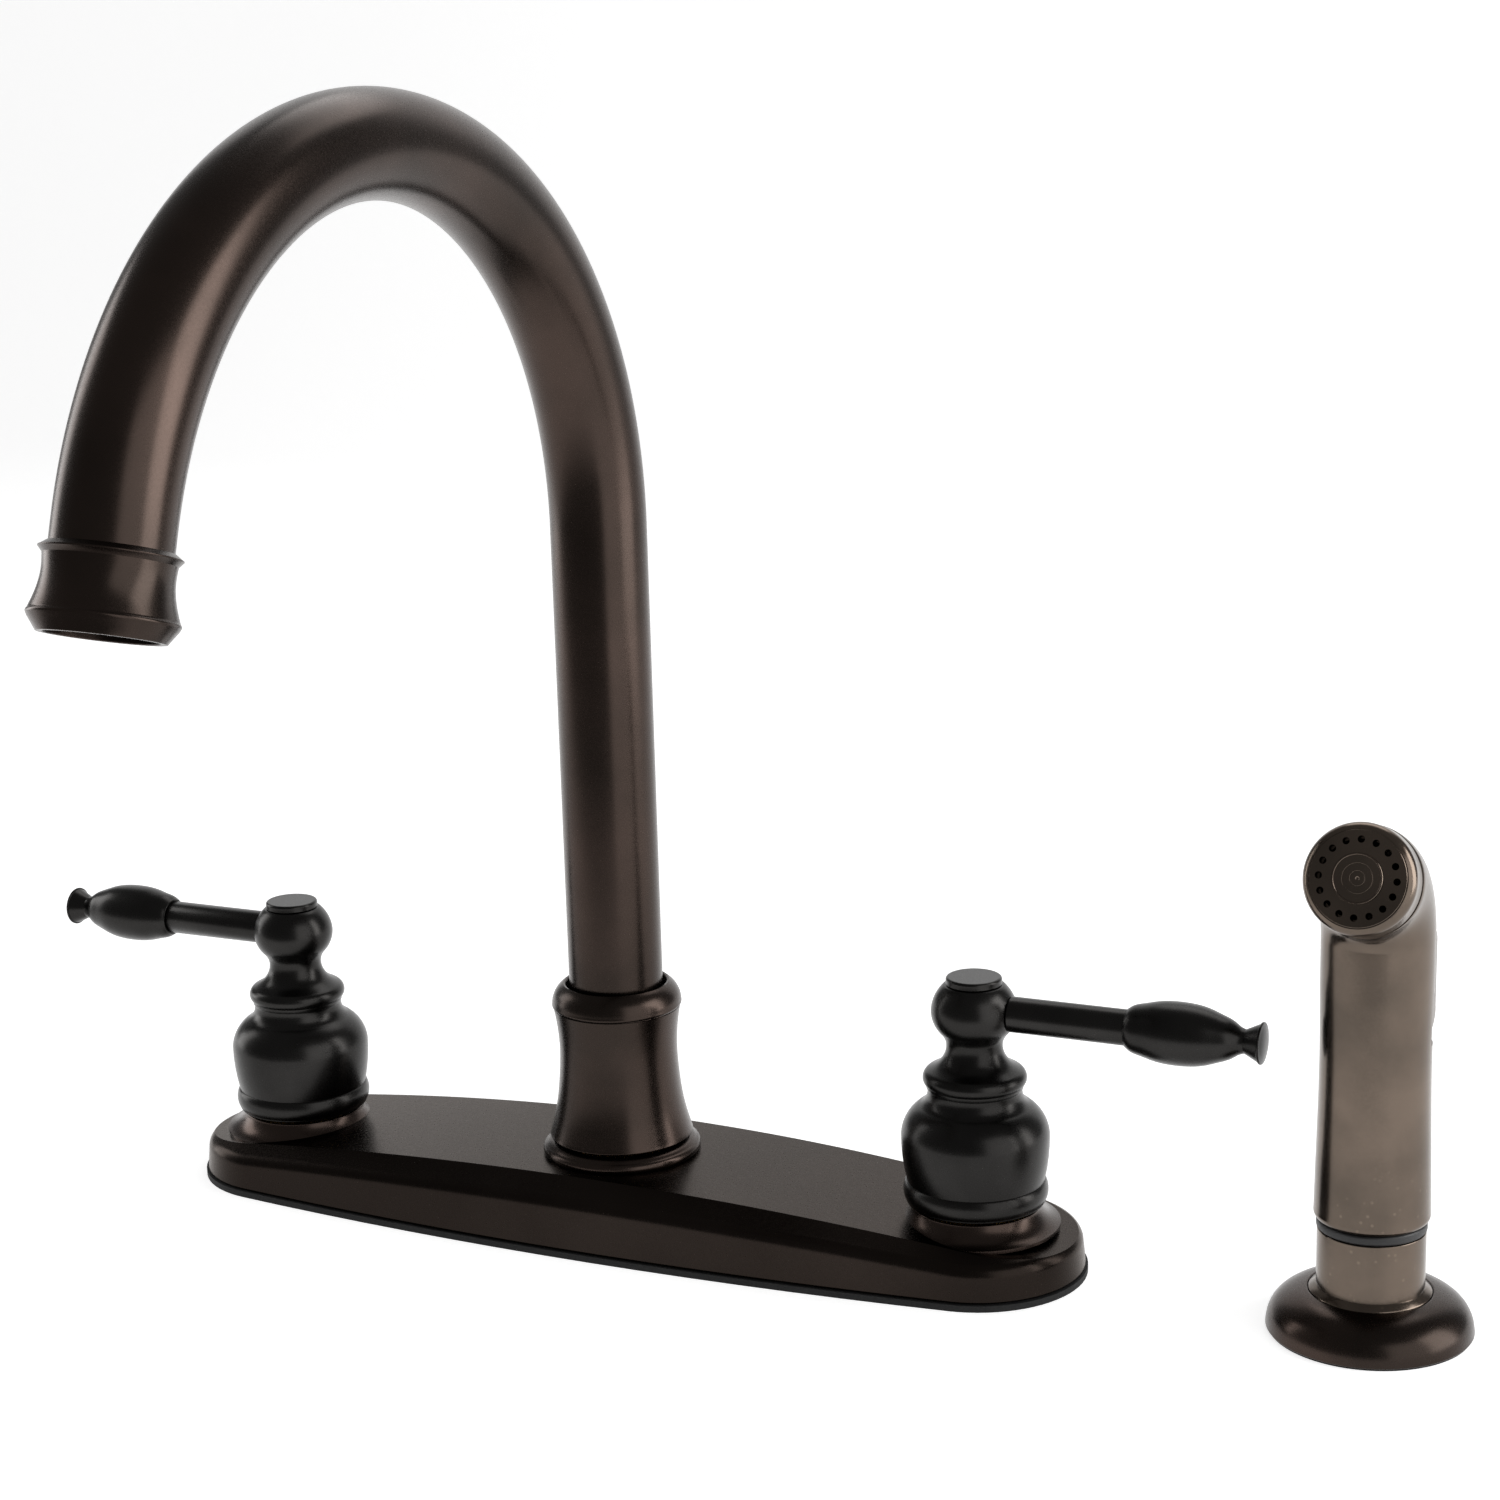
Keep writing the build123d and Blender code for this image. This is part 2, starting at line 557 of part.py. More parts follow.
def spout_sleeve():
    """Waisted sleeve screwed on the socket: its shoulder keeps the spout in."""
    b = SLEEVE_BOTTOM
    top = SLEEVE_TOP
    step = top - 6.4
    return turned((SLEEVE_BORE_R + 3.0, b), (SLEEVE_FOOT_R, b),
                  [(SLEEVE_WAIST_R + 1.7, b + 6.9), (SLEEVE_WAIST_R + 0.3, b + 17.2),
                   (SLEEVE_WAIST_R, b + 24.7), (SLEEVE_WAIST_R + 0.8, b + 33.2),
                   (SLEEVE_BEAD_R - 0.35, step - 0.3)],
                  (SLEEVE_BEAD_R - 0.7, step - 0.3), (SLEEVE_BEAD_R - 0.7, step),
                  (SLEEVE_BEAD_R - 0.05, step),
                  ((SLEEVE_BEAD_R - 0.86, top - 2.37), (SLEEVE_RIM_R, top)),
                  (TUBE_R + 0.97, top), (TUBE_R + 0.97, top - SLEEVE_RIM_DEPTH),
                  (TUBE_R + SLEEVE_ROOM, top - SLEEVE_RIM_DEPTH),
                  (TUBE_R + SLEEVE_ROOM, SLEEVE_SHOULDER), (SLEEVE_BORE_R, SLEEVE_SHOULDER),
                  (SLEEVE_BORE_R, b + 5.5))


def glide_washer_lower():
    return ring(TAIL_FLANGE_R, SOCKET_BORE_R + 0.2, SOCKET_TOP, SOCKET_TOP + GLIDE_THICKNESS)


def glide_washer_upper():
    return ring(TAIL_FLANGE_R, TUBE_R + 0.2, SLEEVE_SHOULDER - GLIDE_THICKNESS, SLEEVE_SHOULDER)


def o_ring_heights():
    middle = (TAIL_BOTTOM + FLANGE_BOTTOM) / 2
    return [middle - 2.2, middle + 2.2]


def spout_tail():
    """Turned tail: runs in the socket, trapped by its flange, with a spigot in the tube."""
    radius = SOCKET_BORE_R - RUN
    body = disc(radius, TAIL_BOTTOM, FLANGE_BOTTOM)
    body += disc(TAIL_FLANGE_R - 0.1, FLANGE_BOTTOM, FLANGE_TOP)
    body += disc(TUBE_BORE_R - FIT, FLANGE_TOP, FLANGE_TOP + TAIL_SPIGOT)
    body -= disc(TAIL_BORE_R, TAIL_BOTTOM, FLANGE_TOP + TAIL_SPIGOT)
    for z in o_ring_heights():
        depth = radius - 2 * O_RING_R
        body -= ring(radius + 1, depth, z - O_RING_R - 0.15, z + O_RING_R + 0.15)
    return body


def spout_o_rings():
    major = SOCKET_BORE_R - RUN - O_RING_R + 0.03
    first, second = [Pos(0, 0, z) * Torus(major, O_RING_R) for z in o_ring_heights()]
    return first + second


def spout_heading():
    """Unit vector from the spout's axis towards the outlet, in plan."""
    return Vector(-sin(radians(SPOUT_YAW)), -cos(radians(SPOUT_YAW)), 0)


def bend_end():
    """Plane at the end of the bend, looking the way the water leaves."""
    turn = radians(BEND_ANGLE)
    reach = BEND_R * (1 - cos(turn))
    where = spout_heading() * reach + Vector(0, 0, TUBE_RISE + BEND_R * sin(turn))
    way = spout_heading() * sin(turn) + Vector(0, 0, cos(turn))
    return Plane(origin=where, z_dir=way, x_dir=spout_heading().cross(Vector(0, 0, 1)))


def spout_tube():
    """Gooseneck: upright tube, one long bend and a short straight end, of one bore."""
    end = bend_end()
    half = radians(BEND_ANGLE / 2)
    middle = spout_heading() * (BEND_R * (1 - cos(half)))
    middle += Vector(0, 0, TUBE_RISE + BEND_R * sin(half))
    rise = Line((0, 0, FLANGE_TOP), (0, 0, TUBE_RISE))
    bend = ThreePointArc((0, 0, TUBE_RISE), middle, end.origin)
    tip = Line(end.origin, end.origin + end.z_dir * TUBE_END)
    path = Wire([rise, bend, tip])
    start = Plane(origin=(0, 0, FLANGE_TOP), z_dir=(0, 0, 1))
    section = start * (Circle(TUBE_R) - Circle(TUBE_BORE_R))
    return sweep(section, path=path)


def aerator_housing():
    """Turned outlet collar: sharp bead, waist, sharp lip and a coned rim."""
    s = OUTLET_START
    end = s + OUTLET_LENGTH
    thread_end = TUBE_END + PLAY
    body = turned((TUBE_R + FIT, s), (TUBE_R + 0.45, s), (OUTLET_BEAD_R, s + 1.14),
                  (OUTLET_WAIST_R + 0.2, s + 2.4),
                  [(OUTLET_WAIST_R, s + 5.3), (OUTLET_WAIST_R + 0.75, s + 10.3),
                   (OUTLET_LIP_R - 0.3, end - 4.3)],
                  (OUTLET_LIP_R, end - 3.5), (OUTLET_LIP_R - 0.4, end - 2.8),
                  (OUTLET_RIM_R, end), (OUTLET_BORE_R, end), (OUTLET_BORE_R, thread_end),
                  (TUBE_R + FIT, thread_end))
    return bend_end().location * body


def aerator_washer():
    body = ring(OUTLET_BORE_R - FIT, TUBE_BORE_R - 1.5, 0, AERATOR_WASHER)
    return bend_end().location * (Pos(0, 0, TUBE_END + PLAY) * body)


def aerator_insert():
    """Plastic cup behind the outlet's mouth."""
    start = TUBE_END + PLAY + AERATOR_WASHER
    end = OUTLET_START + OUTLET_LENGTH - 1.4
    outer = OUTLET_BORE_R - FIT
    body = disc(outer, start, end) - disc(outer - AERATOR_WALL, start + AERATOR_WALL, end)
    body -= disc(outer - 3 * AERATOR_WALL, start, start + AERATOR_WALL)
    body -= disc(outer - AERATOR_WALL / 2, end - SCREEN_THICKNESS, end)
    return bend_end().location * body


def aerator_screen():
    """Honeycomb disc that the water leaves through."""
    end = OUTLET_START + OUTLET_LENGTH - 1.4
    radius = OUTLET_BORE_R - FIT - AERATOR_WALL / 2 - FIT
    plate = Pos(0, 0, end - SCREEN_THICKNESS) * extrude(Circle(radius), SCREEN_THICKNESS)
    reach = radius - SCREEN_HOLE_R - 0.6
    rows = int(reach / SCREEN_PITCH) + 1
    holes = []
    for i in range(-rows, rows + 1):
        for j in range(-rows, rows + 1):
            x = SCREEN_PITCH * (i + j / 2)
            y = SCREEN_PITCH * j * sqrt(3) / 2
            if sqrt(x * x + y * y) <= reach:
                holes.append(Pos(x, y) * RegularPolygon(SCREEN_HOLE_R, 6))
    cut = extrude(Sketch() + holes, 2 * SCREEN_THICKNESS)
    return bend_end().location * (plate - Pos(0, 0, end - 1.5 * SCREEN_THICKNESS) * cut)


# ------------------------------------------------------------------ diverter
def diverter_cage():
    """Sits in the post: sends the water down to the sprayer while its trigger is pressed."""
    top = POST_TOP - 0.1
    stop = CAGE_SEAT + PISTON_LENGTH + PISTON_TRAVEL + 0.2
    body = disc(CAGE_R, FOOT_TOP, top) + disc(POST_BORE_R - FIT, stop, top)
    body -= disc(PISTON_R + RUN, CAGE_SEAT, stop)
    body -= disc(PISTON_R - 1.2, FOOT_TOP, top)
    for z in (CROSS_Z, CAGE_SEAT + 1.6):
        body -= along_x(1.4, -CAGE_R, CAGE_R, z)
        body -= along_y(1.4, -CAGE_R, CAGE_R, z)
    return body


def diverter_piston():
    b = CAGE_SEAT
    top = CAGE_SEAT + PISTON_LENGTH
    return turned((0, b), (PISTON_R - 0.5, b), (PISTON_R, b + 0.5), (PISTON_R, b + 2.4),
                  (PISTON_R - 1.1, b + 3.2), (PISTON_R - 1.1, top - 3.2), (PISTON_R, top - 2.4),
                  (PISTON_R, top - 0.5), (PISTON_R - 0.5, top), (0, top))


# ------------------------------------------------------------------ sprayer guide and coupling
def sprayer_flange():
    """Domed flange with a hollow underside and a hub round the guide's shank."""
    b = FLANGE_PAD
    hub_r = GUIDE_SHANK_R + 2.6
    roof = GUIDE_SEAT - FLANGE_WALL
    hole = GUIDE_SHANK_R + FIT
    body = turned((hole, b), (FLANGE_R, b),
                  [(FLANGE_R - 0.4, b + 2.9), (FLANGE_R - 1.85, b + 5.8),
                   (FLANGE_R - 4.4, b + 8.05), (FLANGE_R - 7.9, FLANGE_HEIGHT - 0.42),
                   (GUIDE_BASE_R + 0.25, FLANGE_HEIGHT)],
                  (GUIDE_BASE_R + 0.25, GUIDE_SEAT), (hole, GUIDE_SEAT))
    hollow = turned((hub_r, b), (FLANGE_R - FLANGE_WALL, b),
                    ((FLANGE_R - FLANGE_WALL - 1.3, b + 4.4), (FLANGE_R - 8.0, roof)),
                    (hub_r, roof))
    return body - hollow


def flange_gasket():
    return ring(FLANGE_PAD_R, GUIDE_SHANK_R + 0.4, 0, FLANGE_PAD)


def sprayer_guide():
    """Threaded guide: shank through the ledge, shoulder on the flange, socket for the wand."""
    s = GUIDE_SEAT
    body = turned((GUIDE_BORE_R, -GUIDE_DROP), (GUIDE_SHANK_R, -GUIDE_DROP), (GUIDE_SHANK_R, s),
                  (GUIDE_BASE_R, s), (GUIDE_BASE_R, s + 0.5 * GUIDE_BASE),
                  (GUIDE_R + 0.3, s + GUIDE_BASE), (GUIDE_R, s + GUIDE_BASE + 0.3),
                  (GUIDE_R, GUIDE_TOP - 0.3), (GUIDE_R - 0.3, GUIDE_TOP),
                  (COUPLING_TAIL_R + RUN, GUIDE_TOP), (COUPLING_TAIL_R + RUN, SOCKET_FLOOR),
                  (GUIDE_BORE_R, SOCKET_FLOOR))
    return body


def coupling_collar():
    """Hose coupling: its tail drops into the guide, and the wand turns on its neck."""
    body = turned((COUPLING_BORE_R, SOCKET_FLOOR + 0.3), (COUPLING_TAIL_R - 0.8, SOCKET_FLOOR + 0.3),
                  (COUPLING_TAIL_R, SOCKET_FLOOR + 1.4), (COUPLING_TAIL_R, COUPLING_BOTTOM),
                  (COUPLING_R - 0.8, COUPLING_BOTTOM), (COUPLING_R, COUPLING_BOTTOM + 0.6),
                  (COUPLING_R, COUPLING_TOP - 0.5), (COUPLING_R - 0.6, COUPLING_TOP),
                  (COUPLING_NECK_R, COUPLING_TOP),
                  (COUPLING_NECK_R, COUPLING_TOP + COUPLING_NECK),
                  (COUPLING_BORE_R, COUPLING_TOP + COUPLING_NECK))
    return body


def coupling_washer():
    top = COUPLING_TOP + COUPLING_NECK
    return ring(COUPLING_NECK_R - 0.2, COUPLING_BORE_R + 0.5, top, top + 1.2)


# ------------------------------------------------------------------ sprayer wand
def head_place():
    """Head axis: from the elbow's centre forwards and up."""
    tilt = radians(HEAD_TILT)
    return Plane(origin=(0, 0, ELBOW_Z), x_dir=(1, 0, 0), z_dir=(0, -cos(tilt), sin(tilt)))


def core_half_width():
    return TRIGGER_HALF_WIDTH - TRIGGER_WALL - TRIGGER_ROOM


def elbow_tangent():
    """From where the axes cross to either end of the elbow's bend."""
    return ELBOW_R * tan(radians((90 - HEAD_TILT) / 2))


def wand_body():
    """Wand with an elbow and a forward head, cut away at the back for the trigger."""
    b = WAND_BOTTOM
    start = ELBOW_Z - elbow_tangent()
    body = turned((0, b), (WAND_FOOT_R - 0.6, b), ((WAND_FOOT_R - 0.1, b + 0.9), (WAND_FOOT_R, b + 2.1)),
                  [(WAND_FOOT_R - 0.32, b + 16), (WAND_GRIP_R, b + 40), (WAND_R, b + 58)],
                  (WAND_R, start), (0, start))
    head = head_place().location
    body += revolve(Pos(0, 0, start) * Circle(WAND_R), Axis((0, -ELBOW_R, start), (1, 0, 0)),
                    90 - HEAD_TILT)
    body += head * disc(WAND_R, elbow_tangent(), HEAD_LENGTH)
    core = core_half_width()
    low = TRIGGER_BOTTOM - 2
    high = TRIGGER_TOP + 1.5
    far = 2 * WAND_R
    body -= block(-far, far, CORE_BACK, far, low, high)
    front = TRIGGER_FRONT - TRIGGER_SWING - 0.4
    body -= block(core, far, front, far, low, high)
    body -= block(-far, -core, front, far, low, high)
    corners = block(-far, far, 0, far, low, PIVOT_Z - 10)
    swept = disc(TRIGGER_R - TRIGGER_WALL - 0.2, low, PIVOT_Z - 10)
    body -= corners - Pos(0, -TRIGGER_SWING - 0.5, 0) * swept
    neck_top = COUPLING_TOP + COUPLING_NECK
    body -= disc(COUPLING_NECK_R + RUN, b, neck_top + 1.4)
    body -= disc(WAND_BORE_R, neck_top, ELBOW_Z)
    chamber = HEAD_LENGTH - BEZEL_SPIGOT - HEAD_WASHER
    body -= head * disc(WAND_BORE_R, 0, HEAD_LENGTH)
    body -= head * disc(BEZEL_SPIGOT_R + FIT, chamber, HEAD_LENGTH)
    body -= along_x(PIVOT_R + FIT, -far, far, 0).moved(Location((0, PIVOT_Y, PIVOT_Z)))
    body -= along_y(PLUNGER_R + RUN, -WAND_R + 5.2, CORE_BACK, PLUNGER_Z)
    body -= along_y(SPRING_R + 0.2, WAND_BORE_R + 0.1, CORE_BACK, PLUNGER_Z)
    return body


def face_gasket():
    start = HEAD_LENGTH - BEZEL_SPIGOT - HEAD_WASHER
    body = ring(BEZEL_SPIGOT_R - 0.05, BEZEL_SPIGOT_R - 2.6, start, start + HEAD_WASHER)
    return head_place().location * body


def spray_bezel():
    """Ring that screws into the head and frames the spray face."""
    back = HEAD_LENGTH + BEZEL_GAP
    face_back = FACE_AT - FACE_THICKNESS
    inner = BEZEL_SPIGOT_R - 1.5
    spigot = HEAD_LENGTH - BEZEL_SPIGOT
    body = turned((inner, spigot), (BEZEL_SPIGOT_R, spigot), (BEZEL_SPIGOT_R, back), (BEZEL_R, back),
                  (BEZEL_R, FACE_AT - 2.9),
                  ((BEZEL_R - 0.45, FACE_AT - 1.1), (FACE_R + 0.25, FACE_AT - 0.1)),
                  (FACE_R, FACE_AT - 0.1), (FACE_R, face_back), (inner, face_back))
    return head_place().location * body


def spray_face():
    """Spray plate with its ring of nozzle holes."""
    b = FACE_AT - FACE_THICKNESS
    body = disc(FACE_R - FIT, b, FACE_AT) - disc(CENTRE_STEM_R + FIT, b, FACE_AT)
    for place in PolarLocations(NOZZLE_RING_R, NOZZLE_COUNT, start_angle=90):
        body -= place * disc(NOZZLE_R, b, FACE_AT)
    return head_place().location * body


def spray_centre():
    """Nozzle boss in the middle of the face: a shallow dish with a raised lip."""
    b = FACE_AT - FACE_THICKNESS
    body = disc(CENTRE_STEM_R, b, FACE_AT) + disc(CENTRE_STEM_R + 1.4, b - 2, b)
    body += turned((0, FACE_AT), (CENTRE_R, FACE_AT), (CENTRE_R, FACE_AT + 0.3),
                   (CENTRE_R - 0.15, FACE_AT + 0.3 + CENTRE_LIP),
                   (CENTRE_R - 0.4, FACE_AT + 0.3 + CENTRE_LIP),
                   (CENTRE_R - 0.6, FACE_AT + 0.3), (0, FACE_AT + 0.3))
    return head_place().location * body


def trigger():
    """Channel-shaped lever on the wand's back, pivoted near its top."""
    b = TRIGGER_BOTTOM
    t = TRIGGER_TOP
    r = TRIGGER_R
    w = TRIGGER_HALF_WIDTH
    form = turned((0, b), (r - 2.2, b), ((r - 0.7, b + 1.4), (r, b + 5)), (r, t - 4),
                  ((r - 0.5, t - 1.3), (r - 1.6, t)), (0, t))
    ears = along_x(EAR_R, -w, w, 0).moved(Location((0, PIVOT_Y, PIVOT_Z)))
    form &= block(-w, w, TRIGGER_FRONT, r, b, t) + ears
    r -= TRIGGER_WALL
    w -= TRIGGER_WALL
    form -= disc(r, b, t) & block(-w, w, 0, r, b, t)
    far = TRIGGER_HALF_WIDTH
    hole = along_x(PIVOT_R + RUN, -far, far, 0).moved(Location((0, PIVOT_Y, PIVOT_Z)))
    return form - hole


def trigger_pin():
    reach = TRIGGER_HALF_WIDTH - 0.2
    return along_x(PIVOT_R, -reach, reach, 0).moved(Location((0, PIVOT_Y, PIVOT_Z)))


def valve_plunger():
    head_at = PLUNGER_END - PLUNGER_HEAD
    body = along_y(PLUNGER_R, -4.0, PLUNGER_END, PLUNGER_Z)
    return body + along_y(PLUNGER_HEAD_R, head_at, PLUNGER_END, PLUNGER_Z)


def valve_spring():
    head_at = PLUNGER_END - PLUNGER_HEAD
    start = WAND_BORE_R + 0.2 + PLUNGER_TRAVEL
    body = along_y(SPRING_R, start, head_at, PLUNGER_Z)
    return body - along_y(SPRING_R - SPRING_WALL, start, head_at, PLUNGER_Z)


def at_sprayer(shape):
    return Pos(SPRAYER_SPACING, 0, 0) * shape


# ------------------------------------------------------------------ every piece, by name
PIECES = {
    "deck_plate": deck_plate(),
    "deck_gasket": deck_gasket(),
    "waterway": waterway(),
    "hot_supply_shank": supply_shank(-1),
    "cold_supply_shank": supply_shank(1),
    "shank_washers": both_sides(clamp_washer(SHANK_R + FIT)),
    "shank_nuts": both_sides(clamp_nut(SHANK_R + FIT)),
    "hose_outlet_nipple": hose_outlet_nipple(),
    "hot_cartridge": at_handle(-1, cartridge()),
    "cold_cartridge": at_handle(1, cartridge()),
    "cartridge_seals": both_sides(cartridge_seal()),
    "hot_bonnet_nut": at_handle(-1, bonnet_nut()),
    "cold_bonnet_nut": at_handle(1, bonnet_nut()),
    "spout_base_ring": spout_base_ring(),
    "spout_socket": spout_socket(),
    "spout_sleeve": spout_sleeve(),
    "glide_washer_lower": glide_washer_lower(),
    "glide_washer_upper": glide_washer_upper(),
    "diverter_cage": diverter_cage(),
    "diverter_piston": diverter_piston(),
    "spout_tube": spout_tube(),
    "spout_tail": spout_tail(),
    "spout_o_rings": spout_o_rings(),
    "aerator_housing": aerator_housing(),
    "aerator_washer": aerator_washer(),
    "aerator_insert": aerator_insert(),
    "aerator_screen": aerator_screen(),
    "sprayer_flange": at_sprayer(sprayer_flange()),
    "flange_gasket": at_sprayer(flange_gasket()),
    "sprayer_guide": at_sprayer(sprayer_guide()),
    "guide_washer": at_sprayer(clamp_washer(GUIDE_SHANK_R + FIT)),
    "guide_nut": at_sprayer(clamp_nut(GUIDE_SHANK_R + FIT)),
    "coupling_collar": at_sprayer(coupling_collar()),
    "coupling_washer": at_sprayer(coupling_washer()),
    "wand_body": at_sprayer(wand_body()),
    "face_gasket": at_sprayer(face_gasket()),
    "spray_bezel": at_sprayer(spray_bezel()),
    "spray_face": at_sprayer(spray_face()),
    "spray_centre": at_sprayer(spray_centre()),
    "trigger": at_sprayer(trigger()),
    "trigger_pin": at_sprayer(trigger_pin()),
    "valve_plunger": at_sprayer(valve_plunger()),
    "valve_spring": at_sprayer(valve_spring()),
}
for side, name in ((-1, "hot"), (1, "cold")):
    PIECES[name + "_hub"] = at_handle(side, hub())
    PIECES[name + "_lever_rod"] = at_handle(side, lever_rod())
    PIECES[name + "_lever_grip"] = at_handle(side, lever_grip())
    PIECES[name + "_index_cap"] = at_handle(side, index_cap())
    PIECES[name + "_handle_screw"] = at_handle(side, handle_screw())
    PIECES[name + "_stem"] = at_handle(side, stem())

os.makedirs("parts", exist_ok=True)
for name, shape in PIECES.items():
    export_step(shape, f"parts/{name}.step")
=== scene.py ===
import json
from math import atan2, cos, pi, radians, sin, sqrt, tan

import bmesh
import bpy
import numpy as np
from bpy.props import FloatProperty, FloatVectorProperty, IntProperty, PointerProperty
from mathutils import Matrix, Vector


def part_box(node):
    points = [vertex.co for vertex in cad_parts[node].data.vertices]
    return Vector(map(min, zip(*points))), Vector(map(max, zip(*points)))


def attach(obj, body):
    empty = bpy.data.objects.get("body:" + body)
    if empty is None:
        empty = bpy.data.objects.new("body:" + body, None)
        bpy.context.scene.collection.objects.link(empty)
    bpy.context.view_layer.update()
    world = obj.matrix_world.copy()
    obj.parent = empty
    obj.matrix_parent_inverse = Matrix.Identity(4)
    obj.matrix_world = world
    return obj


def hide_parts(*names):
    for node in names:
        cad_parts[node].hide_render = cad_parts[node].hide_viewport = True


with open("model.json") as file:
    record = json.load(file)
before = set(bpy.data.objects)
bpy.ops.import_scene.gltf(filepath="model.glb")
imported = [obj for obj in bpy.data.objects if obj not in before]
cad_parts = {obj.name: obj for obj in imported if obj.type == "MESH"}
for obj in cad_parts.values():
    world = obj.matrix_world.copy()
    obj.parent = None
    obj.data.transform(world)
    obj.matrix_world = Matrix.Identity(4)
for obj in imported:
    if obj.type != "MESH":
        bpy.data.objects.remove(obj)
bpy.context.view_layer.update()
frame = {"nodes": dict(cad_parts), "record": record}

bl_info = {
    "name": "Two handle kitchen faucet",
    "version": (1, 0, 0),
    "blender": (4, 5, 0),
    "location": "View3D > Sidebar > Faucet",
    "description": "Builds the visible pieces, finishes and studio of a kitchen faucet with side sprayer",
    "category": "Add Mesh",
}

MM = 0.001
AROUND = 128  # points round a turned piece
SHARP = 32  # edges steeper than this, in degrees, stay sharp
ON_AXIS = 1e-6  # a smaller radius than this is on the axis
SAME = 1e-7  # points nearer than this, in metres, are one point
SIDES = ((-1, "hot"), (1, "cold"))
TUBE_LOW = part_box("spout_tube")[0]
WAND_LOW, WAND_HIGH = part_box("wand_body")
GRIP_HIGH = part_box("cold_lever_grip")[1]
HUB_LOW, HUB_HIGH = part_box("cold_hub")
SLEEVE_LOW, SLEEVE_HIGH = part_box("spout_sleeve")
HANDLE_X = (HUB_LOW.x + HUB_HIGH.x) / 2
SPRAYER_X = (WAND_LOW.x + WAND_HIGH.x) / 2


def linear(colour):
    """sRGB hex to linear RGB."""
    parts = [int(colour[i:i + 2], 16) / 255 for i in (1, 3, 5)]
    return tuple(c / 12.92 if c <= 0.04045 else ((c + 0.055) / 1.055) ** 2.4 for c in parts)


# ---------------------------------------------------------------- settings
def length(name, description, mm):
    return FloatProperty(name=name, description=description, default=mm * MM, unit="LENGTH",
                         precision=5)


def angle(name, description, degrees):
    return FloatProperty(name=name, description=description, default=radians(degrees),
                         subtype="ANGLE")


def colour(name, description, hex_value):
    return FloatVectorProperty(name=name, description=description, subtype="COLOR", size=3,
                               min=0, max=1, default=linear(hex_value))


def power(name, description, watts):
    return FloatProperty(name=name, description=description, default=watts, unit="POWER")


class FaucetSpoutSettings(bpy.types.PropertyGroup):
    tube_radius: length("Tube radius", "Outside radius of the spout tube", 12.43)
    bend_start: length("Bend start", "Height above the sink where the bend begins", 188.0)
    bend_radius: length("Bend radius", "Radius of the bend at the tube's centre line", 100.15)
    bend_angle: angle("Bend angle", "How far round the tube is bent", 162.6)
    yaw: angle("Spout yaw", "How far the spout stands turned to the left at rest", 1.06)
    sleeve_waist: length("Sleeve waist", "Smallest radius of the waisted sleeve", 15.7)


class FaucetPlateSettings(bpy.types.PropertyGroup):
    half_width: length("Half width", "Half the plate's width at its lower edge, mid length", 33.5)
    end_radius: length("End radius", "Radius of the plate's ends at its lower edge", 27.9)
    top: length("Top height", "Height of the flat top at mid length", 19.15)
    bottom: length("Lower edge", "Height of the plate's lower edge above the sink", 2.2)
    top_half_width: length("Top half width", "Half the flat top's width at mid length", 24.6)
    top_end_radius: length("Top end radius", "End radius of the oval that the bevel starts from", 11.2)
    crown: length("Crown radius", "Radius of the gentle crown along the plate", 950.0)
    crease: length("Crease radius", "Rounding between the bevel and the side", 4.0)


class FaucetHandleSettings(bpy.types.PropertyGroup):
    bell_radius: length("Bell radius", "Largest radius of the handle's bell", 18.9)
    ball_radius: length("Ball radius", "Radius of the ball that carries the lever", 10.93)
    lever_height: length("Lever height", "Height of the lever's axis above the sink", 69.4)
    lever_length: length("Lever length", "From the handle's axis to the lever's end",
                         (GRIP_HIGH.x - HANDLE_X) / MM)
    grip_radius: length("Grip radius", "Largest radius of the lever's grip", 7.87)
    grip_length: length("Grip length", "Length of the grip on the end of the rod", 34.8)


class FaucetSprayerSettings(bpy.types.PropertyGroup):
    wand_radius: length("Wand radius", "Radius of the wand below its head", 13.35)
    elbow_height: length("Elbow height", "Height where the wand's and the head's axes cross", 111.6)
    elbow_radius: length("Elbow radius", "Radius of the elbow's bend at its centre line", 18.0)
    head_tilt: angle("Head tilt", "How far the spray head points up", 19.0)
    nozzles: IntProperty(name="Nozzles", description="Spray holes in the face", default=16, min=6,
                         max=24)


class FaucetFinishSettings(bpy.types.PropertyGroup):
    bronze_dark: colour("Bronze, dark", "Oil-rubbed bronze where the coating is thickest", "#352e2a")
    bronze_worn: colour("Bronze, relieved", "Oil-rubbed bronze where the coating is thinnest", "#463b36")
    handle_black: colour("Handle black", "Blackened handles and levers", "#302f2e")
    spray_dark: colour("Sprayer, dark", "Plated sprayer, darker tone", "#5a5149")
    spray_light: colour("Sprayer, light", "Plated sprayer, lighter tone", "#6e6258")


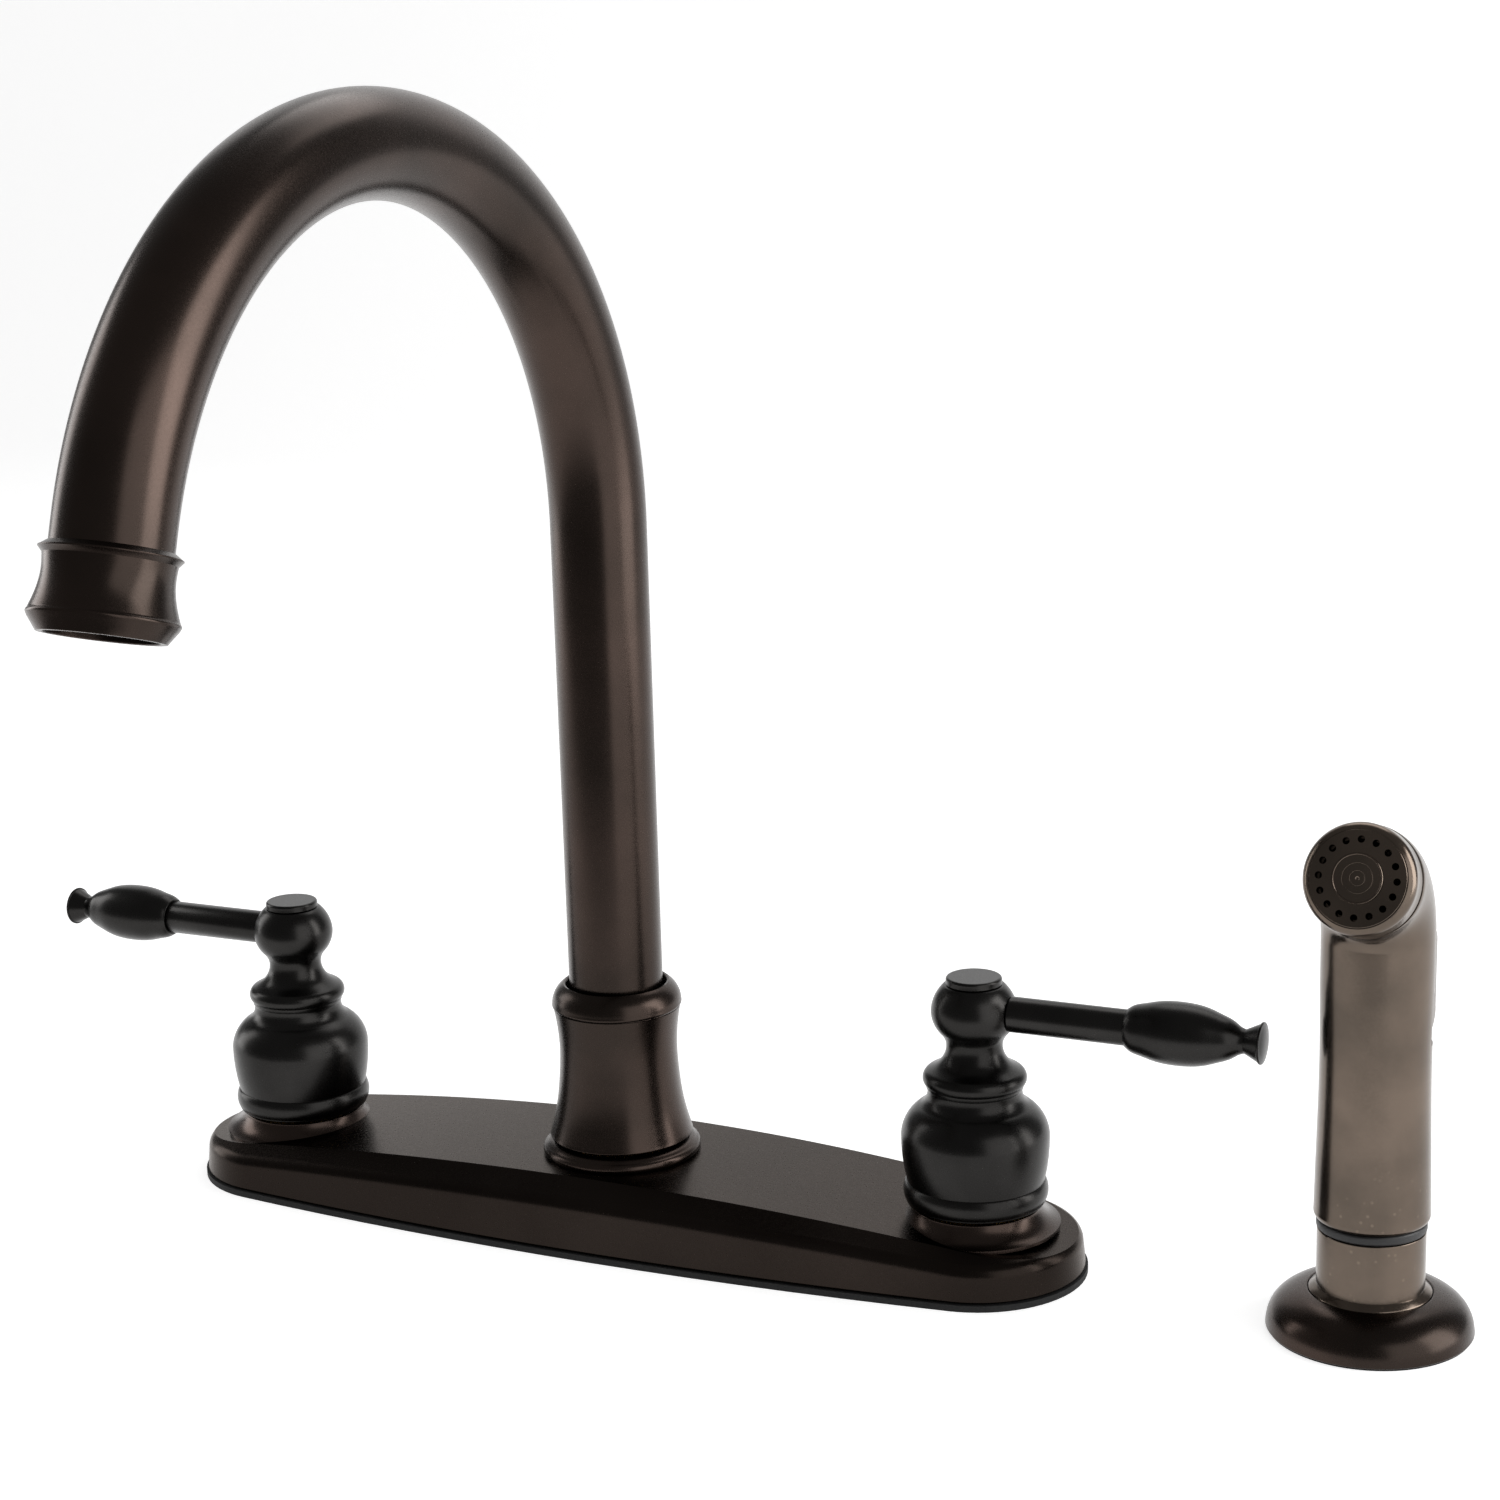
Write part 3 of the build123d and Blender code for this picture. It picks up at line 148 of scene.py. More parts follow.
class FaucetStudioSettings(bpy.types.PropertyGroup):
    camera_place: FloatVectorProperty(name="Camera place", description="Where the camera stands",
                                      size=3, unit="LENGTH", precision=5,
                                      default=(0.356965, -0.669775, 0.306385))
    camera_azimuth: angle("Camera azimuth", "Camera's turn to the right of straight ahead", 25.335)
    camera_elevation: angle("Camera elevation", "Camera's height as an angle", 13.423)
    camera_roll: angle("Camera roll", "Camera's roll about its own axis", -1.589)
    camera_shift: FloatVectorProperty(name="Camera shift", description="Lens shift, sideways and up",
                                      size=2, precision=5, default=(0.00308, 0.00622))
    lens: FloatProperty(name="Focal length", description="Focal length on a 36 mm sensor",
                        default=71.538, unit="CAMERA")
    right_power: power("Right power", "Power of the softbox at the right front", 8.0)
    side_power: power("Side power", "Power of the softbox at the right side", 25.0)
    left_power: power("Left power", "Power of the softbox at the left", 6.0)
    top_power: power("Top power", "Power of the overhead softbox", 3.0)
    room: FloatProperty(name="Room light", description="Brightness of the grey room all round",
                        default=0.18, min=0, subtype="FACTOR")
    paper_glow: FloatProperty(name="Paper glow", description="Brightness of the paper sheet by itself",
                              default=0.74, min=0, subtype="FACTOR")


# ---------------------------------------------------------------- outlines and meshes
def arc_points(a, m, b):
    """Points of the arc from a to b through m, one every five degrees or so."""
    (ax, ay), (mx, my), (bx, by) = a, m, b
    d = 2 * (ax * (my - by) + mx * (by - ay) + bx * (ay - my))
    ux = ((ax**2 + ay**2) * (my - by) + (mx**2 + my**2) * (by - ay) + (bx**2 + by**2) * (ay - my)) / d
    uy = ((ax**2 + ay**2) * (bx - mx) + (mx**2 + my**2) * (ax - bx) + (bx**2 + by**2) * (mx - ax)) / d
    r = sqrt((ax - ux) ** 2 + (ay - uy) ** 2)
    t0, t1, t2 = (atan2(y - uy, x - ux) for x, y in (a, m, b))
    sweep = (t2 - t0) % (2 * pi)
    if (t1 - t0) % (2 * pi) > sweep:
        sweep -= 2 * pi
    steps = max(4, int(abs(sweep) / radians(5)))
    return [(ux + r * cos(t0 + sweep * i / steps), uy + r * sin(t0 + sweep * i / steps))
            for i in range(steps + 1)]


def curve_points(points):
    """Smooth curve through a few points, a natural cubic."""
    p = np.array(points, float)
    h = np.linalg.norm(np.diff(p, axis=0), axis=1)
    n = len(p)
    a = np.eye(n)
    b = np.zeros((n, 2))
    for i in range(1, n - 1):
        a[i, i - 1:i + 2] = h[i - 1], 2 * (h[i - 1] + h[i]), h[i]
        b[i] = 6 * ((p[i + 1] - p[i]) / h[i] - (p[i] - p[i - 1]) / h[i - 1])
    m = np.linalg.solve(a, b)
    out = [tuple(p[0])]
    for i in range(n - 1):
        for s in np.linspace(0, 1, 9)[1:]:
            u, v = 1 - s, s
            q = (u * p[i] + v * p[i + 1]
                 + h[i] ** 2 / 6 * ((u**3 - u) * m[i] + (v**3 - v) * m[i + 1]))
            out.append(tuple(q))
    return out


def trace(start, *steps):
    """Turned outline as (radius, height) in millimetres. A step is a point for a line, two points
    in a tuple for an arc through the first, or a list of points for a smooth curve."""
    points = [start]
    for step in steps:
        if isinstance(step, list):
            points += curve_points([points[-1], *step])[1:]
        elif isinstance(step[0], tuple):
            points += arc_points(points[-1], *step)[1:]
        else:
            points.append(step)
    return points


def mesh_object(name, verts, faces, smooth=SHARP):
    """Object from a list of points in metres, with edges sharper than the angle kept sharp."""
    mesh = bpy.data.meshes.new(name)
    bm = bmesh.new()
    made = [bm.verts.new(v) for v in verts]
    for face in faces:
        bm.faces.new([made[i] for i in face])
    bmesh.ops.remove_doubles(bm, verts=bm.verts, dist=SAME)
    bmesh.ops.recalc_face_normals(bm, faces=bm.faces)
    bm.to_mesh(mesh)
    bm.free()
    piece = bpy.data.objects.new(name, mesh)
    bpy.context.scene.collection.objects.link(piece)
    shade(piece, smooth)
    return piece


def shade(piece, smooth):
    mesh = piece.data
    mesh.polygons.foreach_set("use_smooth", [True] * len(mesh.polygons))
    mesh.set_sharp_from_angle(angle=radians(smooth))
    mesh.update()


def circle(around):
    """Cosine and sine of each step round a circle."""
    return [(cos(2 * pi * i / around), sin(2 * pi * i / around)) for i in range(around)]


def lathe(name, outline, place=Matrix.Identity(4), around=AROUND, smooth=SHARP):
    """Turned piece from a closed outline in millimetres, about the place's Z axis."""
    verts = []
    for c, s in circle(around):
        verts += [place @ Vector((r * c * MM, r * s * MM, z * MM)) for r, z in outline]
    n = len(outline)
    on_axis = [r < ON_AXIS for r, z in outline]
    faces = []
    for i in range(around):
        j = (i + 1) % around
        for k in range(n):
            m = (k + 1) % n
            if on_axis[k] and on_axis[m]:
                continue
            if on_axis[k]:
                faces.append((i * n + k, i * n + m, j * n + m))
            elif on_axis[m]:
                faces.append((i * n + k, i * n + m, j * n + k))
            else:
                faces.append((i * n + k, i * n + m, j * n + m, j * n + k))
    return mesh_object(name, verts, faces, smooth)


def cylinder(name, radius, low, high, place, around=64):
    """Solid cylinder along the place's Z axis, in millimetres, for cutting with."""
    return lathe(name, [(0, low), (radius, low), (radius, high), (0, high)], place, around)


def ring(centre, way, across, radius, around=AROUND):
    """Points round a centre, square to a direction, in metres."""
    out = across.cross(way)
    return [centre + (out * c + across * s) * radius for c, s in circle(around)]


def skin(name, rings, closed=True, smooth=SHARP):
    """Quads from ring to ring. The last ring joins the first, or else both ends are capped."""
    around, count = len(rings[0]), len(rings)
    verts = [point for points in rings for point in points]
    faces = []
    if not closed:
        faces += [tuple(range(around)), tuple(range(len(verts) - around, len(verts)))]
    for k in range(count if closed else count - 1):
        m = (k + 1) % count
        for i in range(around):
            j = (i + 1) % around
            faces.append((k * around + i, k * around + j, m * around + j, m * around + i))
    return mesh_object(name, verts, faces, smooth)


def aimed(where, way, across):
    """Place with its Z axis along a direction and its X axis across it."""
    turn = Matrix((across, way.cross(across), way)).transposed().to_4x4()
    return Matrix.Translation(where) @ turn


def combine(piece, other, operation="DIFFERENCE"):
    """Boolean with another object, applied to the mesh. The other object is then deleted."""
    cut = piece.modifiers.new("combine", "BOOLEAN")
    cut.operation = operation
    cut.solver = "EXACT"
    cut.object = other
    bpy.context.view_layer.update()
    graph = bpy.context.evaluated_depsgraph_get()
    mesh = bpy.data.meshes.new_from_object(piece.evaluated_get(graph))
    piece.modifiers.clear()
    used = piece.data, other.data
    piece.data = mesh
    bpy.data.objects.remove(other)
    for old in used:
        bpy.data.meshes.remove(old)
    shade(piece, SHARP)
    return piece


def block(name, low, high):
    """Box between two corners in millimetres, for cutting with."""
    (x0, y0, z0), (x1, y1, z1) = low, high
    verts = [Vector((x, y, z)) * MM for x in (x0, x1) for y in (y0, y1) for z in (z0, z1)]
    faces = [(0, 1, 3, 2), (4, 6, 7, 5), (0, 4, 5, 1), (2, 3, 7, 6), (0, 2, 6, 4), (1, 5, 7, 3)]
    return mesh_object(name, verts, faces)


def finish_piece(piece, body, slot, *nodes, look=None):
    """Gives a piece its slot's finish, or another look, lets it ride on its body and stand for
    its solids."""
    piece.data.materials.clear()
    piece.data.materials.append(finish(look or slot))
    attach(piece, body)
    if nodes:
        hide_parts(*nodes)


def turned(name, outline, body, slot, node, place=Matrix.Identity(4), around=AROUND):
    """Turned piece with its finish, standing for one solid."""
    finish_piece(lathe(name, outline, place, around), body, slot, node)


# ---------------------------------------------------------------- finishes
def add_node(tree, kind, inputs=(), links=(), **settings):
    """Adds a node: settings on the node, values and links on its inputs."""
    node = tree.nodes.new(kind)
    for key, value in settings.items():
        setattr(node, key, value)
    for socket, value in dict(inputs).items():
        node.inputs[socket].default_value = value
    for socket, (source, output) in dict(links).items():
        tree.links.new(source.outputs[output], node.inputs[socket])
    return node


def new_material(name):
    material = bpy.data.materials.new(name)
    material.use_nodes = True
    material.node_tree.nodes.clear()
    return material, material.node_tree


def toned(tree, where, size, dark, light, low, high):
    """Colour that drifts between two tones over patches of a real size in metres."""
    noise = add_node(tree, "ShaderNodeTexNoise", {"Scale": 1 / size, "Detail": 4.0},
                     {"Vector": (where, "Object")})
    ramp = add_node(tree, "ShaderNodeValToRGB", links={"Fac": (noise, "Fac")})
    ramp.color_ramp.elements[0].position = low
    ramp.color_ramp.elements[0].color = (*dark, 1)
    ramp.color_ramp.elements[1].position = high
    ramp.color_ramp.elements[1].color = (*light, 1)
    return ramp


def surface(tree, where, inputs, base, grain, depth, rough):
    """Principled surface with a grain of a real size in metres in its bump and roughness."""
    noise = add_node(tree, "ShaderNodeTexNoise", {"Scale": 1 / grain, "Detail": 3.0},
                     {"Vector": (where, "Object")})
    spread = add_node(tree, "ShaderNodeMapRange",
                      {"From Min": 0.3, "From Max": 0.7, "To Min": rough[0], "To Max": rough[1]},
                      {"Value": (noise, "Fac")})
    bump = add_node(tree, "ShaderNodeBump", {"Strength": 0.35, "Distance": depth},
                    {"Height": (noise, "Fac")})
    shader = add_node(tree, "ShaderNodeBsdfPrincipled", inputs,
                      {"Roughness": (spread, "Result"), "Normal": (bump, "Normal"), "Base Color": base})
    add_node(tree, "ShaderNodeOutputMaterial", links={"Surface": (shader, "BSDF")})


def two_toned(name, dark, light, patch, grain, depth, rough, inputs=(), ends=(0.35, 0.65)):
    """Material whose colour drifts between two tones, over one grain, all sizes in metres."""
    material, tree = new_material(name)
    where = add_node(tree, "ShaderNodeTexCoord")
    tone = toned(tree, where, patch, dark, light, *ends)
    surface(tree, where, inputs, (tone, "Color"), grain, depth, rough)
    return material


METAL = {"Metallic": 1.0}
SATIN_DEPTH = 0.000006  # metres of bump in a plated or blasted satin


def bronze_tube():
    """Oil-rubbed bronze on brass tube: plated, darkened in a bath and relieved by hand, so the
    eye sees near black with brown showing where light falls, and a soft satin sheen."""
    f = bpy.context.scene.faucet_finish
    # the polishing grain is about 0.05 mm and is drawn at 0.6 mm so that it shows
    return two_toned("oil-rubbed bronze, plated and hand relieved", f.bronze_dark, f.bronze_worn,
                     patch=0.045, grain=0.0006, depth=SATIN_DEPTH, rough=(0.24, 0.30), inputs=METAL)


def bronze_plate_painted_shade():
    """Oil-rubbed bronze on a zinc casting, the same bath as the tube, with painted shade: its tones
    are the tube's darkened to about half, so the top renders darker, and it mirrors more than the tube."""
    f = bpy.context.scene.faucet_finish
    # painted shade: the plate's darker tone is the tube's dark bronze at 0.55 and its lighter tone is the
    # tube's dark bronze, a shaded copy of the same finish that the skirts wear
    dark = tuple(c * 0.55 for c in f.bronze_dark)
    # the grain is the cast skin under the plating, about 1 mm
    return two_toned("oil-rubbed bronze, plated zinc casting", dark, tuple(f.bronze_dark),
                     patch=0.06, grain=0.001, depth=SATIN_DEPTH, rough=(0.24, 0.30),
                     inputs={**METAL, "Specular Tint": (0.9, 0.87, 0.85, 1)}, ends=(0.45, 0.95))


def black_casting():
    """Zinc casting, bead blasted and blackened: a neutral black satin that hides its metal and
    gives only soft dim highlights."""
    base = tuple(bpy.context.scene.faucet_finish.handle_black)
    # the blast's dimples are about 0.1 mm and are drawn at 0.35 mm so that they show
    return two_toned("blackened zinc casting, bead blasted",
                     tuple(c * 0.85 for c in base), tuple(c * 1.15 for c in base),
                     patch=0.02, grain=0.00035, depth=SATIN_DEPTH, rough=(0.26, 0.32), inputs=METAL)


def plated_abs():
    """Moulded ABS with a brushed bronze plating: lighter and greyer than the brass pieces, with
    faint speckles near the wand's foot, where the plating is thin."""
    material, tree = new_material("plated ABS, satin bronze")
    f = bpy.context.scene.faucet_finish
    where = add_node(tree, "ShaderNodeTexCoord")
    tone = toned(tree, where, 0.018, f.spray_dark, f.spray_light, 0.3, 0.7)
    # specks 0.5 to 1 mm across, one to a cell of 2.6 mm, full below 36 mm above the sink and
    # gone at 50 mm
    specks = add_node(tree, "ShaderNodeTexVoronoi", {"Scale": 1 / 0.0026, "Randomness": 1.0},
                      {"Vector": (where, "Object")})
    near = add_node(tree, "ShaderNodeMapRange",
                    {"From Min": 0.1, "From Max": 0.2, "To Min": 0.35, "To Max": 0.0},
                    {"Value": (specks, "Distance")})
    place = add_node(tree, "ShaderNodeSeparateXYZ", links={"Vector": (where, "Object")})
    foot = add_node(tree, "ShaderNodeMapRange",
                    {"From Min": 0.036, "From Max": 0.050, "To Min": 1.0, "To Max": 0.0},
                    {"Value": (place, "Z")})
    amount = add_node(tree, "ShaderNodeMath", links={0: (near, "Result"), 1: (foot, "Result")},
                      operation="MULTIPLY")
    mixed = add_node(tree, "ShaderNodeMix", {7: (*linear("#85786a"), 1)},
                     {"Factor": (amount, "Value"), 6: (tone, "Color")}, data_type="RGBA")
    surface(tree, where, METAL, (mixed, 2), grain=0.0007, depth=SATIN_DEPTH, rough=(0.18, 0.24))
    return material


def moulded_rubber():
    """EPDM rubber, moulded: dull black with a faint bloom."""
    return two_toned("EPDM rubber, moulded", linear("#0f0f10"), linear("#191919"),
                     patch=0.006, grain=0.0004, depth=0.00003, rough=(0.7, 0.85))


def machined_brass():
    """Brass, turned and left as machined: warm yellow with fine tool lines."""
    return two_toned("brass, machined", linear("#b08a3e"), linear("#c9a65a"),
                     patch=0.012, grain=0.0003, depth=0.00002, rough=(0.25, 0.38), inputs=METAL)


def zinc_plated_steel():
    """Steel, stamped or turned and zinc plated: pale grey with a slightly cloudy sheen."""
    return two_toned("steel, zinc plated", linear("#9c9d9f"), linear("#b9babb"),
                     patch=0.01, grain=0.0005, depth=0.00001, rough=(0.3, 0.42), inputs=METAL)


def moulded_acetal():
    """Acetal, moulded: off white and slightly waxy."""
    return two_toned("acetal, moulded", linear("#dcd9cf"), linear("#e8e6de"),
                     patch=0.01, grain=0.0006, depth=0.00001, rough=(0.38, 0.48), inputs={"IOR": 1.48})


def moulded_black_abs():
    """Black ABS, moulded with a fine spark-eroded texture."""
    return two_toned("ABS, moulded black", linear("#101011"), linear("#1a1a1b"),
                     patch=0.01, grain=0.0004, depth=0.00002, rough=(0.42, 0.55), inputs={"IOR": 1.54})


MAKERS = {
    "dark_bronze": bronze_tube,
    "plate_bronze": bronze_plate_painted_shade,
    "black_bronze": black_casting,
    "spray_bronze": plated_abs,
    "rubber": moulded_rubber,
    "raw_brass": machined_brass,
    "steel": zinc_plated_steel,
    "white_plastic": moulded_acetal,
    "black_plastic": moulded_black_abs,
}
FINISHES = {}


def finish(slot):
    """The finish of a material slot, made once."""
    if slot not in FINISHES:
        FINISHES[slot] = MAKERS[slot]()
    return FINISHES[slot]


# ---------------------------------------------------------------- studio
# each softbox: name, place, the point it faces, its width and height, in metres
SOFTBOXES = (
    ("right", (1.25, -0.75, 0.35), (0, 0, 0.35), (1.0, 1.9)),
    ("side", (1.45, 0.25, 0.35), (0, 0, 0.35), (0.9, 1.9)),
    ("left", (-1.3, 0.05, 0.35), (0, 0, 0.3), (0.5, 1.2)),
    ("top", (0.0, 0.75, 1.2), (0, 0, 0.1), (1.0, 0.5)),
)
# the paper sheet in metres, and where it fades: axis, place where it is gone and where it is whole
SHEET_SIDES = (-3.0, 1.6)
SHEET_FRONT, SHEET_BACK, SHEET_SWEEP, SHEET_TOP = -0.6, 2.0, 0.7, 2.6
SHEET_FADES = (("Y", -0.42, -0.24), ("X", 1.2, 0.75), ("X", -2.8, -2.3))


class FAUCET_OT_studio(bpy.types.Operator):
    """Camera, world, softboxes and the paper sheet"""
    bl_idname = "faucet.studio"
    bl_label = "Studio"

    def execute(self, context):
        s = context.scene.faucet_studio
        self.camera(context, s)
        self.world(context, s.room)
        self.sheet(s.paper_glow)
        for name, place, target, size in SOFTBOXES:
            self.softbox(name + " softbox", place, target, size, getattr(s, name + "_power"))
        view = context.scene.view_settings
        view.view_transform = "Standard"
        return {"FINISHED"}

    def camera(self, context, s):
        a, e, roll = s.camera_azimuth, s.camera_elevation, s.camera_roll
        back = Vector((sin(a) * cos(e), -cos(a) * cos(e), sin(e)))
        level = Vector((cos(a), sin(a), 0))
        upright = back.cross(level)
        right = level * cos(roll) + upright * sin(roll)
        up = upright * cos(roll) - level * sin(roll)
        data = bpy.data.cameras.new("camera")
        data.sensor_width = 36
        data.lens = s.lens
        data.shift_x, data.shift_y = s.camera_shift
        data.clip_start = 0.01
        data.clip_end = 50
        data.dof.use_dof = False
        camera = bpy.data.objects.new("camera", data)
        context.scene.collection.objects.link(camera)
        turn = Matrix((right, up, back)).transposed().to_4x4()
        camera.matrix_world = Matrix.Translation(Vector(s.camera_place)) @ turn
        context.scene.camera = camera

    def world(self, context, room):
        """Plain grey room all round."""
        world = bpy.data.worlds.new("studio")
        world.use_nodes = True
        tree = world.node_tree
        tree.nodes.clear()
        grey = add_node(tree, "ShaderNodeBackground", {"Color": (1, 1, 1, 1), "Strength": room})
        add_node(tree, "ShaderNodeOutputWorld", links={"Surface": (grey, "Background")})
        context.scene.world = world

    def sheet(self, strength):
        """White paper sheet: the floor at the sink's level and the backdrop it sweeps up to. It
        is a little bright by itself, so that it is white to the eye and in reflections, and it
        still takes the faucet's shadow. Its edges melt into the grey room, so that the room shows
        in the metal as a dim zone, and no hard edge shows from any side."""
        bend = SHEET_BACK - SHEET_SWEEP
        profile = [(SHEET_FRONT, 0.0), (bend, 0.0)]
        profile += [(bend + SHEET_SWEEP * sin(t), SHEET_SWEEP * (1 - cos(t)))
                    for t in np.linspace(0, pi / 2, 25)[1:]]
        profile += [(SHEET_BACK, SHEET_TOP)]
        verts = [Vector((x, y, z)) for y, z in profile for x in SHEET_SIDES]
        faces = [(2 * i, 2 * i + 1, 2 * i + 3, 2 * i + 2) for i in range(len(profile) - 1)]
        sheet = mesh_object("paper_sheet", verts, faces)
        material, tree = new_material("white paper sheet")
        path = add_node(tree, "ShaderNodeLightPath")
        seen = add_node(tree, "ShaderNodeMath", operation="ADD", use_clamp=True,
                        links={0: (path, "Is Camera Ray"), 1: (path, "Is Glossy Ray")})
        seen = add_node(tree, "ShaderNodeMath", operation="ADD", use_clamp=True,
                        links={0: (seen, "Value"), 1: (path, "Is Transmission Ray")})
        where = add_node(tree, "ShaderNodeTexCoord")
        fibre = add_node(tree, "ShaderNodeTexNoise", {"Scale": 1 / 0.002}, {"Vector": (where, "Object")})
        tone = add_node(tree, "ShaderNodeMapRange",
                        {"From Min": 0.2, "From Max": 0.8, "To Min": 0.78, "To Max": 0.82},
                        {"Value": (fibre, "Fac")})
        paper = add_node(tree, "ShaderNodeBsdfDiffuse", links={"Color": (tone, "Result")})
        glow = add_node(tree, "ShaderNodeEmission", {"Color": (1, 1, 1, 1), "Strength": strength})
        both = add_node(tree, "ShaderNodeAddShader", links={0: (paper, "BSDF"), 1: (glow, "Emission")})
        mix = add_node(tree, "ShaderNodeMixShader", links={0: (seen, "Value"), 1: (paper, "BSDF"),
                       2: (both, "Shader")})
        place = add_node(tree, "ShaderNodeSeparateXYZ", links={"Vector": (where, "Object")})
        front, right, left = [
            add_node(tree, "ShaderNodeMapRange", {"From Min": gone, "From Max": full},
                     {"Value": (place, axis)}, interpolation_type="SMOOTHSTEP")
            for axis, gone, full in SHEET_FADES]
        sides = add_node(tree, "ShaderNodeMath", operation="MULTIPLY",
                         links={0: (right, "Result"), 1: (left, "Result")})
        kept = add_node(tree, "ShaderNodeMath", operation="MULTIPLY",
                        links={0: (sides, "Value"), 1: (front, "Result")})
        clear = add_node(tree, "ShaderNodeBsdfTransparent")
        faded = add_node(tree, "ShaderNodeMixShader", links={0: (kept, "Value"), 1: (clear, "BSDF"),
                         2: (mix, "Shader")})
        add_node(tree, "ShaderNodeOutputMaterial", links={"Surface": (faded, "Shader")})
        sheet.data.materials.append(material)

    def softbox(self, name, place, target, size, power):
        data = bpy.data.lights.new(name, "AREA")
        data.shape = "RECTANGLE"
        data.size, data.size_y = size
        data.energy = power
        lamp = bpy.data.objects.new(name, data)
        bpy.context.scene.collection.objects.link(lamp)
        lamp.location = place
        lamp.rotation_euler = (Vector(target) - Vector(place)).to_track_quat("-Z", "Y").to_euler()


# ---------------------------------------------------------------- cover plate
SIDE_LEAN, BEVEL_SLOPE = 5.4, 29  # degrees, the plate's side from upright and its bevel from level
PLATE_WALL = 1.8
PLATE_SHARP = 14  # degrees, so that the line round the crowned top stays crisp


class FAUCET_OT_plate(bpy.types.Operator):
    """Crowned cover plate with its bevelled edge and the two skirts"""
    bl_idname = "faucet.plate"
    bl_label = "Cover plate"

    def execute(self, context):
        s = context.scene.faucet_plate
        finish_piece(self.cover(s), "deck", "plate_bronze", "deck_plate")
        for side, name in SIDES:
            top = s.top / MM - (HANDLE_X / MM) ** 2 / (2 * s.crown / MM)
            foot = top - 0.3
            outline = trace((12.3, foot - 1), (21.6, foot - 1), (21.6, foot - 0.15),
                            ((17.75, top + 2.0), (16.55, 17.7)), ((16.45, 17.93), (16.25, 18.0)),
                            (12.3, 18.0))
            skirt = lathe(name + "_skirt", outline, Matrix.Translation((side * HANDLE_X, 0, 0)))
            finish_piece(skirt, "deck", "plate_bronze", look="dark_bronze")
        return {"FINISHED"}

    def cover(self, s):
        """Grid over the plate: each station's section runs from the lower edge, up the side,
        round the crease and the bevel, to the crowned top."""
        half, end, top, bottom = (v / MM for v in (s.half_width, s.end_radius, s.top, s.bottom))
        roof_half, roof_end, crown = s.top_half_width / MM, s.top_end_radius / MM, s.crown / MM
        x0 = HANDLE_X / MM
        lean, slope = tan(radians(SIDE_LEAN)), tan(radians(BEVEL_SLOPE))

        def reach(px, dx, dy, half_width, end_r, grow):
            """Distance from (px, 0) along (dx, dy) to the oval, grown by an offset."""
            side_r = (x0**2 + half_width**2 - end_r**2) / (2 * (half_width - end_r))
            cy = side_r - half_width
            if abs(dx) > 1e-9 and abs(dy) <= cy / (side_r - end_r):
                return end_r + grow
            b = px * dx + cy * abs(dy)
            return -b + sqrt(b * b - (px * px + cy * cy - (side_r + grow) ** 2))

        # stations along each long side and round each end, grid rows outside and inside the
        # crowned top's edge, and steps in height before the section is evened out
        along, round_end, rows, inner, fine = 90, 61, 44, 7, 400
        stations = []
        for side, turned in ((1.0, 0), (-1.0, 180)):
            stations += [(x, 0.0, side) for x in np.linspace(-side * x0, side * x0, along)[1:-1]]
            stations += [(side * x0, cos(radians(t + turned)), sin(radians(t + turned)))
                         for t in np.linspace(90, -90, round_end)]
        verts = []
        for px, dx, dy in stations:
            def crown_z(t):
                return top - (px + t * dx) ** 2 / (2 * crown)
            z = np.linspace(bottom, top + 0.5, fine)
            side = np.array([reach(px, dx, dy, half, end, -(v - bottom) * lean) for v in z])
            roof = np.array([reach(px, dx, dy, roof_half, roof_end, (top - v) / slope) for v in z])
            line = self.section(z, side, roof, s.crease / MM)
            cut = next(i for i, (t, v) in enumerate(line) if v >= crown_z(t))
            (t0, v0), (t1, v1) = line[cut - 1], line[cut]
            g0, g1 = v0 - crown_z(t0), v1 - crown_z(t1)
            k = g0 / (g0 - g1)
            p = np.array(line[:cut] + [(t0 + (t1 - t0) * k, v0 + (v1 - v0) * k)])
            run = np.concatenate([[0], np.cumsum(np.linalg.norm(np.diff(p, axis=0), axis=1))])
            section = [(np.interp(u, run, p[:, 0]), np.interp(u, run, p[:, 1]))
                       for u in np.linspace(0, run[-1], rows)]
            edge = section[-1][0]
            section += [(edge * (1 - f), crown_z(edge * (1 - f))) for f in np.linspace(0, 1, inner)[1:]]
            verts += [Vector((px + t * dx, t * dy, v)) * MM for t, v in section]
        n = rows + inner - 1
        m = len(stations)
        faces = []
        for i in range(m):
            j = (i + 1) % m
            for k in range(n - 1):
                quad = (i * n + k, j * n + k, j * n + k + 1, i * n + k + 1)
                same = (verts[quad[2]] - verts[quad[3]]).length < SAME
                faces.append(quad[:3] if same else quad)
        plate = mesh_object("cover_plate", verts, faces, PLATE_SHARP)
        wall = plate.modifiers.new("wall", "SOLIDIFY")
        wall.thickness = PLATE_WALL * MM
        wall.offset = -1
        return plate

    def section(self, z, side, roof, radius):
        """Side, rounded crease and bevel of one section, as (reach, height)."""
        k = int(np.argmax(roof < side))
        corner = Vector((side[k], z[k]))
        down = (Vector((side[0], z[0])) - corner).normalized()
        up = (Vector((roof[-1], z[-1])) - corner).normalized()
        half = down.angle(up) / 2
        back = radius / tan(half)
        a, b = corner + down * back, corner + up * back
        centre = corner + (down + up).normalized() * (radius / sin(half))
        m = centre + (corner - centre).normalized() * radius
        bend = arc_points(tuple(a), tuple(m), tuple(b))
        low = [(t, v) for t, v in zip(side, z) if v < a.y]
        high = [(t, v) for t, v in zip(roof, z) if v > b.y]
        return low + bend + high


# ---------------------------------------------------------------- spout
TUBE_WALL = 1.43
TUBE_END = 12  # millimetres of straight tube after the bend
RISER_STEPS, BEND_STEPS = 6, 110


